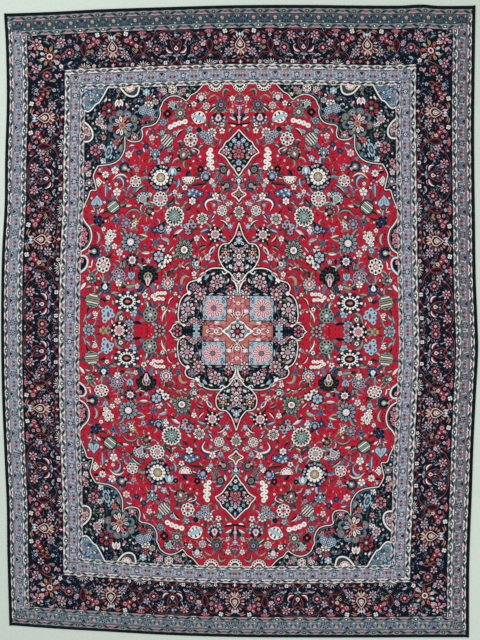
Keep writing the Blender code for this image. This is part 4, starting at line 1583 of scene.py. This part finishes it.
def partition(u0, u1, v0, v1):
    # cuts one tile of the design into triangles along its outlines, and finds each one's dye
    box = (u0, u1, v0, v1)
    across = max(2, round((u1 - u0) / cloth["grid"]))
    along = max(2, round((v1 - v0) / cloth["grid"]))
    wide, long = u1 - u0, v1 - v0
    points = [(u0 + wide * i / across, v0) for i in range(across)]
    points += [(u1, v0 + long * i / along) for i in range(along)]
    points += [(u1 - wide * i / across, v1) for i in range(across)]
    points += [(u0, v1 - long * i / along) for i in range(along)]
    edges, kept = [(i, (i + 1) % len(points)) for i in range(len(points))], []
    for ring, dye in design:
        us, vs = [p[0] for p in ring], [p[1] for p in ring]
        if max(us) <= u0 or min(us) >= u1 or max(vs) <= v0 or min(vs) >= v1:
            continue
        kept.append((ring, dye))
        first = len(points)
        points += ring
        edges += [(first + i, first + (i + 1) % len(ring)) for i in range(len(ring))]
    spots, faces = cut(points, edges, box)
    dyes = topDye(spots[faces].mean(1), kept)
    # only where two dyes meet does a line stay; then the same again, with far fewer triangles
    sides = {}
    for face, dye in zip(faces.tolist(), dyes.tolist()):
        for a, b in zip(face, face[1:] + face[:1]):
            sides.setdefault((min(a, b), max(a, b)), []).append(dye)
    meet = [side for side, both in sides.items() if len(both) == 1 or both[0] != both[1]]
    fixed = {i for side, both in sides.items() if len(both) == 1 for i in side}
    meet = straightened(spots, meet, fixed)
    used = sorted({i for side in meet for i in side})
    place = {i: k for k, i in enumerate(used)}
    points = [tuple(spots[i]) for i in used]
    points += [(u0 + wide * i / across, v0 + long * j / along)
               for i in range(1, across) for j in range(1, along)]
    spots, faces = cut(points, [(place[a], place[b]) for a, b in meet], box)
    return spots, faces, topDye(spots[faces].mean(1), kept)


def rimOf(spots, box):
    # the points on a tile's four sides, in order round it
    u0, u1, v0, v1 = box

    def on(axis, line, way):
        here = np.nonzero(abs(spots[:, axis] - line) < 2e-6)[0]
        return sorted(here, key=lambda i: way * spots[i, 1 - axis])

    return on(1, v0, 1) + on(0, u1, 1)[1:] + on(1, v1, -1)[1:] + on(0, u0, -1)[1:-1]


# Painted light on the outer band: its ground darkened as painted shade on the top end, and paled as painted
# light on the bottom end and the left flank, for how light falls across the pile. Each row: an end or a
# flank, which one, between which lines, how far along, and which dye each one became
pileLightStripes = [
    ("end", 1, 1.848, 1.903, 1.416, {"h": "j", "b": "d", "y": "h"}),
    ("end", -1, 1.848, 1.903, 1.416, {"h": "v"}), ("flank", -1, 1.360, 1.416, 1.848, {"m": "y"}),
]


def batchDyes(dyes, middles, way):
    # swaps the outer band's ground dyes for their painted shade and painted light
    order, out = list(wools), dyes.copy()
    for kind, sense, inner, outer, reach, swaps in pileLightStripes:
        if sense != way[kind == "end"]:
            continue
        across, along = (middles[:, 1], middles[:, 0]) if kind == "end" else (middles[:, 0], middles[:, 1])
        here = (across > inner) & (across < outer) & (along < reach)
        for old, new in swaps.items():
            out[here & (dyes == order.index(old))] = order.index(new)
    return out


# How much of the map's height a tile's top, walls and foot take
mapShare = {"top": 0.955, "wallFrom": 0.958, "wall": 0.006, "footFrom": 0.968, "foot": 0.03}


def pileTile(name, tile, box, way, material):
    # one closed tile of pile: patterned top, walls and a plain foot
    spots, faces, dyes, ring, footFaces = tile
    u0, u1, v0, v1 = box
    (sx, sy), count, wall = way, len(spots), len(ring)
    x, y = knotted(sx * spots[:, 0], sy * spots[:, 1])
    z = np.full(count, cloth["pileTop"])
    onRim = (spots[:, 0] > rug["pileWidth"] - 1e-5) | (spots[:, 1] > rug["pileLength"] - 1e-5)
    z[onRim] -= cloth["rimDrop"]
    top = np.column_stack([x, y, z])
    foot = top[ring].copy()
    foot[:, 2] = cloth["pileFoot"]
    polygons = [tuple(f) for f in faces.tolist()]
    polygons += [(ring[k], count + k, count + (k + 1) % wall, ring[(k + 1) % wall]) for k in range(wall)]
    polygons += [tuple(count + i for i in f[::-1]) for f in footFaces]
    if sx * sy < 0:
        polygons = [p[::-1] for p in polygons]
    mesh = bpy.data.meshes.new(name)
    mesh.from_pydata(np.vstack([top, foot]).tolist(), [], polygons)
    shades = mesh.attributes.new("dye", "FLOAT", "FACE")
    # painted light and shade laid into the outer band's ground here
    dyes = batchDyes(np.array(dyes), spots[faces].mean(1), way)
    plain = np.full(len(polygons) - len(faces), list(wools).index("o"))
    shades.data.foreach_set("value", np.concatenate([dyes, plain]).astype(np.float32))
    flat = mesh.uv_layers.new(name="OFBake")
    loops = np.zeros(len(mesh.loops), int)
    mesh.loops.foreach_get("vertex_index", loops)
    place = np.vstack([spots, spots[ring]])
    place = (place - (u0, v0)) / (u1 - u0, v1 - v0)
    uv = place[loops] * (1, mapShare["top"])
    starts = np.zeros(len(mesh.polygons), int)
    totals = np.zeros(len(mesh.polygons), int)
    mesh.polygons.foreach_get("loop_start", starts)
    mesh.polygons.foreach_get("loop_total", totals)
    kind = np.repeat(np.repeat([0, 1, 2], [len(faces), wall, len(footFaces)]), totals)
    uv[kind == 2] = place[loops[kind == 2]] * (1, mapShare["foot"]) + (0, mapShare["footFrom"])
    wallLoops = np.nonzero(kind == 1)[0].reshape(-1, 4)
    for corner, (along, up) in enumerate(((0, 1), (0, 0), (1, 0), (1, 1))):
        if sx * sy < 0:
            along, up = ((1, 1), (1, 0), (0, 0), (0, 1))[corner]
        uv[wallLoops[:, corner], 0] = (np.arange(wall) + along) / wall
        uv[wallLoops[:, corner], 1] = mapShare["wallFrom"] + mapShare["wall"] * up
    flat.data.foreach_set("uv", uv.astype(np.float32).ravel())
    mesh.materials.append(material)
    mesh.update()
    return placed(name, mesh)


class Value:
    # a shader socket that takes part in sums
    def __init__(self, tree, socket):
        self.tree, self.socket = tree, socket

    def math(self, operation, other=None, swap=False):
        node = self.tree.nodes.new("ShaderNodeMath")
        node.operation = operation
        pair = [self, other] if other is not None else [self]
        for k, item in enumerate(reversed(pair) if swap else pair):
            if isinstance(item, Value):
                self.tree.links.new(item.socket, node.inputs[k])
            else:
                node.inputs[k].default_value = item
        return Value(self.tree, node.outputs[0])

    def __add__(self, other):
        return self.math("ADD", other)

    def __radd__(self, other):
        return self.math("ADD", other, True)

    def __sub__(self, other):
        return self.math("SUBTRACT", other)

    def __rsub__(self, other):
        return self.math("SUBTRACT", other, True)

    def __mul__(self, other):
        return self.math("MULTIPLY", other)

    def __rmul__(self, other):
        return self.math("MULTIPLY", other, True)

    def __truediv__(self, other):
        return self.math("DIVIDE", other)

    def __rtruediv__(self, other):
        return self.math("DIVIDE", other, True)


class Nodes:
    # adds nodes to one tree; a socket is given by its name, or by _ and its number
    def __init__(self, tree):
        self.tree = tree

    def node(self, kind, settings=None, out=0, **sockets):
        node = self.tree.nodes.new(kind)
        for key, value in (settings or {}).items():
            if key == "stops":
                ramp = node.color_ramp
                while len(ramp.elements) > 1:
                    ramp.elements.remove(ramp.elements[-1])
                for k, (place, colour) in enumerate(value):
                    stop = ramp.elements[0] if k == 0 else ramp.elements.new(place)
                    stop.position, stop.color = place, colour
            elif key == "interpolation":
                node.color_ramp.interpolation = value
            else:
                setattr(node, key, value)
        for key, value in sockets.items():
            socket = node.inputs[int(key[1:])] if key[0] == "_" else node.inputs[key]
            self.feed(socket, value)
        return Value(self.tree, node.outputs[out])

    def feed(self, socket, value):
        if isinstance(value, Value):
            self.tree.links.new(value.socket, socket)
        else:
            socket.default_value = value


class Finish(Nodes):
    # one material
    def __init__(self, name):
        self.material = bpy.data.materials.new(name)
        self.material.use_nodes = True
        super().__init__(self.material.node_tree)
        self.shader = self.tree.nodes["Principled BSDF"]

    def set(self, **sockets):
        for key, value in sockets.items():
            self.feed(self.shader.inputs[key.replace("_", " ")], value)


def linear(rgb):
    return (*(c / 255 / 12.92 if c / 255 <= 0.04045 else ((c / 255 + 0.055) / 1.055) ** 2.4 for c in rgb), 1)


def dyed(w):
    # each face's dye, by its number
    count = len(wools)
    stops = [((k - 0.5) / count if k else 0, linear(wools[key])) for k, key in enumerate(wools)]
    dye = w.node("ShaderNodeAttribute", {"attribute_name": "dye"}, 2)
    return w.node("ShaderNodeValToRGB", {"interpolation": "CONSTANT", "stops": stops}, 0, Fac=dye / count)


def pileWool():
    # clipped wool: each dye, with the slow change between batches and the small change between knots
    look = {"knot": 0.0030, "batch": 0.05, "speckle": 0.09, "wear": 0.12, "rough": 0.92, "relief": 0.0012}
    w = Finish("pile_wool")
    place = w.node("ShaderNodeTexCoord", None, 3)
    rows = w.node("ShaderNodeVectorMath", {"operation": "MULTIPLY"}, 0, _0=place, _1=(1 / look["knot"],) * 3)
    cells = w.node("ShaderNodeVectorMath", {"operation": "FLOOR"}, 0, _0=rows)
    speckle = w.node("ShaderNodeTexWhiteNoise", {"noise_dimensions": "3D"}, 0, Vector=cells)
    drawn = w.node("ShaderNodeVectorMath", {"operation": "MULTIPLY"}, 0, _0=place, _1=(0.6, 5.0, 1.0))
    batch = w.node("ShaderNodeTexNoise", {"noise_dimensions": "3D"}, 0, Vector=drawn, Scale=2.0, Detail=3.0)
    worn = w.node("ShaderNodeTexNoise", None, 0, Vector=place, Scale=9.0, Detail=4.0)
    light = 1 + (speckle - 0.5) * (2 * look["speckle"])
    light = light + (batch - 0.5) * (4 * look["batch"]) + (worn - 0.5) * look["wear"]
    grey = w.node("ShaderNodeCombineColor", None, 0, Red=light, Green=light, Blue=light)
    colour = w.node("ShaderNodeMix", {"data_type": "RGBA", "blend_type": "MULTIPLY"}, 2, _0=1.0, _6=dyed(w),
                    _7=grey)
    w.set(Base_Color=colour, Roughness=look["rough"] + (speckle - 0.5) * 0.08)
    w.set(Sheen_Weight=0.04, Sheen_Roughness=0.5, Specular_IOR_Level=0.08)
    tufts = w.node("ShaderNodeTexVoronoi", {"feature": "F1"}, 0, Vector=place, Scale=1 / look["knot"])
    w.set(Normal=w.node("ShaderNodeBump", None, 0, Strength=0.35, Distance=look["relief"], Height=1 - tufts))
    return w.material


def bindingWool():
    look = {"deep": (3, 12, 18), "fleck": (15, 33, 43), "rough": 0.85, "relief": 0.0006}
    w = Finish("binding_wool")
    place = w.node("ShaderNodeTexCoord", None, 3)
    fleck = w.node("ShaderNodeTexNoise", None, 0, Vector=place, Scale=240.0, Detail=3.0)
    slow = w.node("ShaderNodeTexNoise", None, 0, Vector=place, Scale=7.0, Detail=2.0)
    mix = (fleck - 0.45) * 1.6 + (slow - 0.5) * 0.8
    deep, pale = linear(look["deep"]), linear(look["fleck"])
    colour = w.node("ShaderNodeMix", {"data_type": "RGBA"}, 2, _0=mix, _6=deep, _7=pale)
    w.set(Base_Color=colour, Roughness=look["rough"] + fleck * 0.1, Sheen_Weight=0.05,
          Specular_IOR_Level=0.15)
    w.set(Normal=w.node("ShaderNodeBump", None, 0, Strength=0.3, Distance=look["relief"], Height=fleck))
    return w.material


def backWool():
    # the back: knots packed flat in rows between cotton wefts
    look = {"knot": 0.0030, "weft": (214, 204, 184), "rough": 0.9, "relief": 0.0008}
    w = Finish("woven_back")
    place = w.node("ShaderNodeTexCoord", None, 3)
    row = w.node("ShaderNodeTexWave", {"wave_type": "BANDS", "bands_direction": "Y"}, 0, Vector=place,
                 Scale=0.314 / look["knot"], Distortion=0.4, Detail=1.0)
    fleck = w.node("ShaderNodeTexNoise", None, 0, Vector=place, Scale=300.0, Detail=2.0)
    mix = 0.10 + row * 0.16 + (fleck - 0.5) * 0.2
    colour = w.node("ShaderNodeMix", {"data_type": "RGBA"}, 2, _0=mix, _6=dyed(w), _7=linear(look["weft"]))
    w.set(Base_Color=colour, Roughness=look["rough"] + (fleck - 0.5) * 0.1, Specular_IOR_Level=0.15)
    height = row + fleck * 0.4
    w.set(Normal=w.node("ShaderNodeBump", None, 0, Strength=0.5, Distance=look["relief"], Height=height))
    return w.material


# Weaving: three tiles for each quarter
pile, binding, backing = pileWool(), bindingWool(), backWool()
edgeU, edgeV = rug["mainWidth"], rug["mainLength"]
tiles = {
    "field": (0.0, edgeU, 0.0, edgeV),
    "side": (edgeU, rug["pileWidth"], 0.0, edgeV),
    "end": (0.0, rug["pileWidth"], edgeV, rug["pileLength"]),
}
quarters = {"top_right": (1, 1), "top_left": (-1, 1), "bottom_right": (1, -1), "bottom_left": (-1, -1)}
woven = []
for part, box in tiles.items():
    spots, faces, dyes = partition(*box)
    ring = rimOf(spots, box)
    rimSpots = [Vector(spots[i]) for i in ring]
    flat = delaunay_2d_cdt(rimSpots, [(k, (k + 1) % len(ring)) for k in range(len(ring))], [], 1, 1e-7, False)
    foot = []
    for corners in flat[2]:
        a, b, c = (rimSpots[i] for i in corners)
        foot.append(tuple(corners) if (b - a).cross(c - a) > 0 else tuple(corners)[::-1])
    print("knotting the", part, "tiles:", len(faces), "triangles each")
    for quarter, way in quarters.items():
        woven.append(pileTile(f"pile_{part}_{quarter}", (spots, faces, dyes, ring, foot), box, way, pile))


def backCloth():
    # the woven base, closed, with the knots of the plain grounds showing underneath
    nu, nv = cloth["backCells"]
    us = np.linspace(-rug["pileWidth"], rug["pileWidth"], nu + 1)
    vs = np.linspace(-rug["pileLength"], rug["pileLength"], nv + 1)
    grid = np.array([(u, v) for v in vs for u in us])
    x, y = knotted(grid[:, 0], grid[:, 1])
    count, row = len(grid), nu + 1
    low = np.column_stack([x, y, np.zeros(count)])
    high = np.column_stack([x, y, np.full(count, cloth["backTop"])])
    corners = [j * row + i for j in range(nv) for i in range(nu)]
    polygons = [(a, a + row, a + row + 1, a + 1) for a in corners]
    polygons += [(a + count, a + count + 1, a + count + row + 1, a + count + row) for a in corners]
    ring = list(range(nu)) + [j * row + nu for j in range(nv)]
    ring += [nv * row + i for i in range(nu, 0, -1)] + [j * row for j in range(nv, 0, -1)]
    polygons += [(a, b, b + count, a + count) for a, b in zip(ring, ring[1:] + ring[:1])]
    mesh = bpy.data.meshes.new("back_cloth")
    mesh.from_pydata(np.vstack([low, high]).tolist(), [], polygons)
    shades = mesh.attributes.new("dye", "FLOAT", "FACE")
    order, values = list(wools), []
    for polygon in polygons[:nu * nv]:
        u, v = abs(grid[list(polygon)].mean(0))
        dye = [d for d, w, l in grounds if 1000 * u < w and 1000 * v < l][-1]
        values.append(order.index(dye))
    values += [order.index("o")] * (len(polygons) - nu * nv)
    shades.data.foreach_set("value", np.array(values, np.float32))
    mesh.materials.append(backing)
    return placed("back_cloth", mesh)


back = backCloth()

# The bindings: wool wrapped over the outermost warps, and over the ends
bindings = {
    "selvedge_right": ("side", 1), "selvedge_left": ("side", -1),
    "end_binding_top": ("end", 1), "end_binding_bottom": ("end", -1),
}
wrapping = {"Wrap": 0.0060, "Width": cloth["bindingWidth"], "Height": cloth["bindingHeight"], "Waist": 0.88}
linePoints = 161  # how closely a line follows its edge


def wrappingTree():
    # yarn wound round a line: full in the middle of each wrap, drawn in between two wraps
    tree = bpy.data.node_groups.new("wrapping", "GeometryNodeTree")
    sides = tree.interface
    sides.new_socket(name="Line", in_out="INPUT", socket_type="NodeSocketGeometry")
    for name, size in wrapping.items():
        sides.new_socket(name=name, in_out="INPUT", socket_type="NodeSocketFloat").default_value = size
    sides.new_socket(name="Yarn", in_out="INPUT", socket_type="NodeSocketMaterial")
    sides.new_socket(name="Wrapped", in_out="OUTPUT", socket_type="NodeSocketGeometry")
    g = Nodes(tree)
    given = tree.nodes.new("NodeGroupInput")
    line, wrap, width, height, waist, yarn = (Value(tree, given.outputs[k]) for k in range(6))
    spine = g.node("GeometryNodeMeshToCurve", None, 0, Mesh=line)
    spine = g.node("GeometryNodeResampleCurve", {"mode": "LENGTH"}, 0, Curve=spine, Length=wrap / 2)
    spine = g.node("GeometryNodeSetCurveNormal", {"mode": "Z_UP"}, 0, Curve=spine)
    section = g.node("GeometryNodeCurvePrimitiveCircle", None, 0, Resolution=8, Radius=0.5)
    size = g.node("ShaderNodeCombineXYZ", None, 0, X=width, Y=height, Z=1.0)
    section = g.node("GeometryNodeTransform", None, 0, Geometry=section, Scale=size)
    index = g.node("GeometryNodeInputIndex")
    full = waist + index.math("MODULO", 2.0) * (1 - waist)
    wound = g.node("GeometryNodeCurveToMesh", None, 0, Curve=spine, _1=section, Scale=full, _3=True)
    wound = g.node("GeometryNodeSetShadeSmooth", None, 0, Geometry=wound, _2=False)
    wound = g.node("GeometryNodeRealizeInstances", None, 0, Geometry=wound)
    wound = g.node("GeometryNodeSetMaterial", None, 0, Geometry=wound, Material=yarn)
    tree.links.new(wound.socket, tree.nodes.new("NodeGroupOutput").inputs[0])
    return tree


def overcast(name, kind, side, tree):
    # the line along one edge, then the wraps round it
    w, h = wrapping["Width"], wrapping["Height"]
    # pushed 5 mm out past the drawn outline, so that the real binding's dark wool also paints the shadow
    # along the edge
    halfWidth, halfLength = (rug[key] + cloth["bindingSpread"] for key in ("halfWidth", "halfLength"))
    half = halfLength if kind == "side" else halfWidth - w - cloth["bindingGap"]
    out = side * ((halfWidth if kind == "side" else halfLength) - w / 2)
    along = np.linspace(-half, half, linePoints)
    across = np.full(len(along), out)
    x, y = lieDown(*((across, along) if kind == "side" else (along, across)))
    line = np.column_stack([x, y, np.full(len(along), h / 2)])
    mesh = bpy.data.meshes.new(name)
    mesh.from_pydata(line.tolist(), [(k, k + 1) for k in range(len(along) - 1)], [])
    wound = placed(name, mesh)
    modifier = wound.modifiers.new("wrapping", "NODES")
    modifier.node_group = tree
    for item in tree.interface.items_tree:
        if item.in_out == "INPUT" and item.name in wrapping:
            modifier[item.identifier] = wrapping[item.name]
        elif item.name == "Yarn":
            modifier[item.identifier] = binding
    view = bpy.context.evaluated_depsgraph_get()
    solid = bpy.data.meshes.new_from_object(wound.evaluated_get(view), depsgraph=view)
    wound.modifiers.clear()
    wound.data = solid
    print("  wraps:", len(solid.polygons), "faces")
    return wound


wrappingNodes = wrappingTree()
edges = []
for node, (kind, side) in bindings.items():
    print("overcasting", node)
    piece = overcast("yarn_" + node, kind, side, wrappingNodes)
    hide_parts(node)
    edges.append(piece)


bodyName = list(frame["bodies"])[0]
for piece in woven + [back]:
    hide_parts("rug_body")
for piece in woven + [back] + edges:
    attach(piece, bodyName)

# Floor, light and camera
mesh = bpy.data.meshes.new("floor")
mesh.from_pydata([(x, y, -0.0005) for x, y in ((-6, -6), (6, -6), (6, 6), (-6, 6))], [], [(0, 1, 2, 3)])
stone = Finish("pale_floor")
spot = stone.node("ShaderNodeTexCoord", None, 3)
speck = stone.node("ShaderNodeTexNoise", None, 0, Vector=spot, Scale=60.0, Detail=4.0)
tones = {"_6": (0.58, 0.65, 0.57, 1), "_7": (0.69, 0.76, 0.68, 1)}
stone.set(Base_Color=stone.node("ShaderNodeMix", {"data_type": "RGBA"}, 2, _0=speck, **tones), Roughness=0.7)
mesh.materials.append(stone.material)
floor = placed("floor", mesh)
floor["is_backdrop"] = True

for name, place, turn, size, watts in (
    ("window", (-2.5, 2.0, 4.5), (-0.35, -0.45, 0), 3.5, 116),
    ("fill", (2.5, -1.5, 4.5), (0.3, 0.45, 0), 3.5, 74),
):
    lamp = bpy.data.lights.new(name, "AREA")
    lamp.energy, lamp.size = watts, size
    hung = placed(name, lamp)
    hung.location, hung.rotation_euler = place, turn
world = bpy.data.worlds.new("studio")
bpy.context.scene.world = world
world.use_nodes = True
sky = world.node_tree.nodes["Background"].inputs
sky["Color"].default_value, sky["Strength"].default_value = (0.95, 0.98, 1.0, 1), 0.55

lens = bpy.data.cameras.new("camera")
lens.lens, lens.sensor_width = 28.125, 36.0
camera = placed("camera", lens)
camera.location = (0.12725, 0.08675, 3.159)
camera.rotation_euler = [math.radians(a) for a in (-1.03, 1.86, 0.12)]
bpy.context.scene.camera = camera
bpy.context.scene.view_settings.view_transform = "Standard"

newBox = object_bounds()
for name, box in (("cad", cadBox), ("visual", newBox)):
    print(name, [tuple(round(c, 4) for c in p) for p in box])
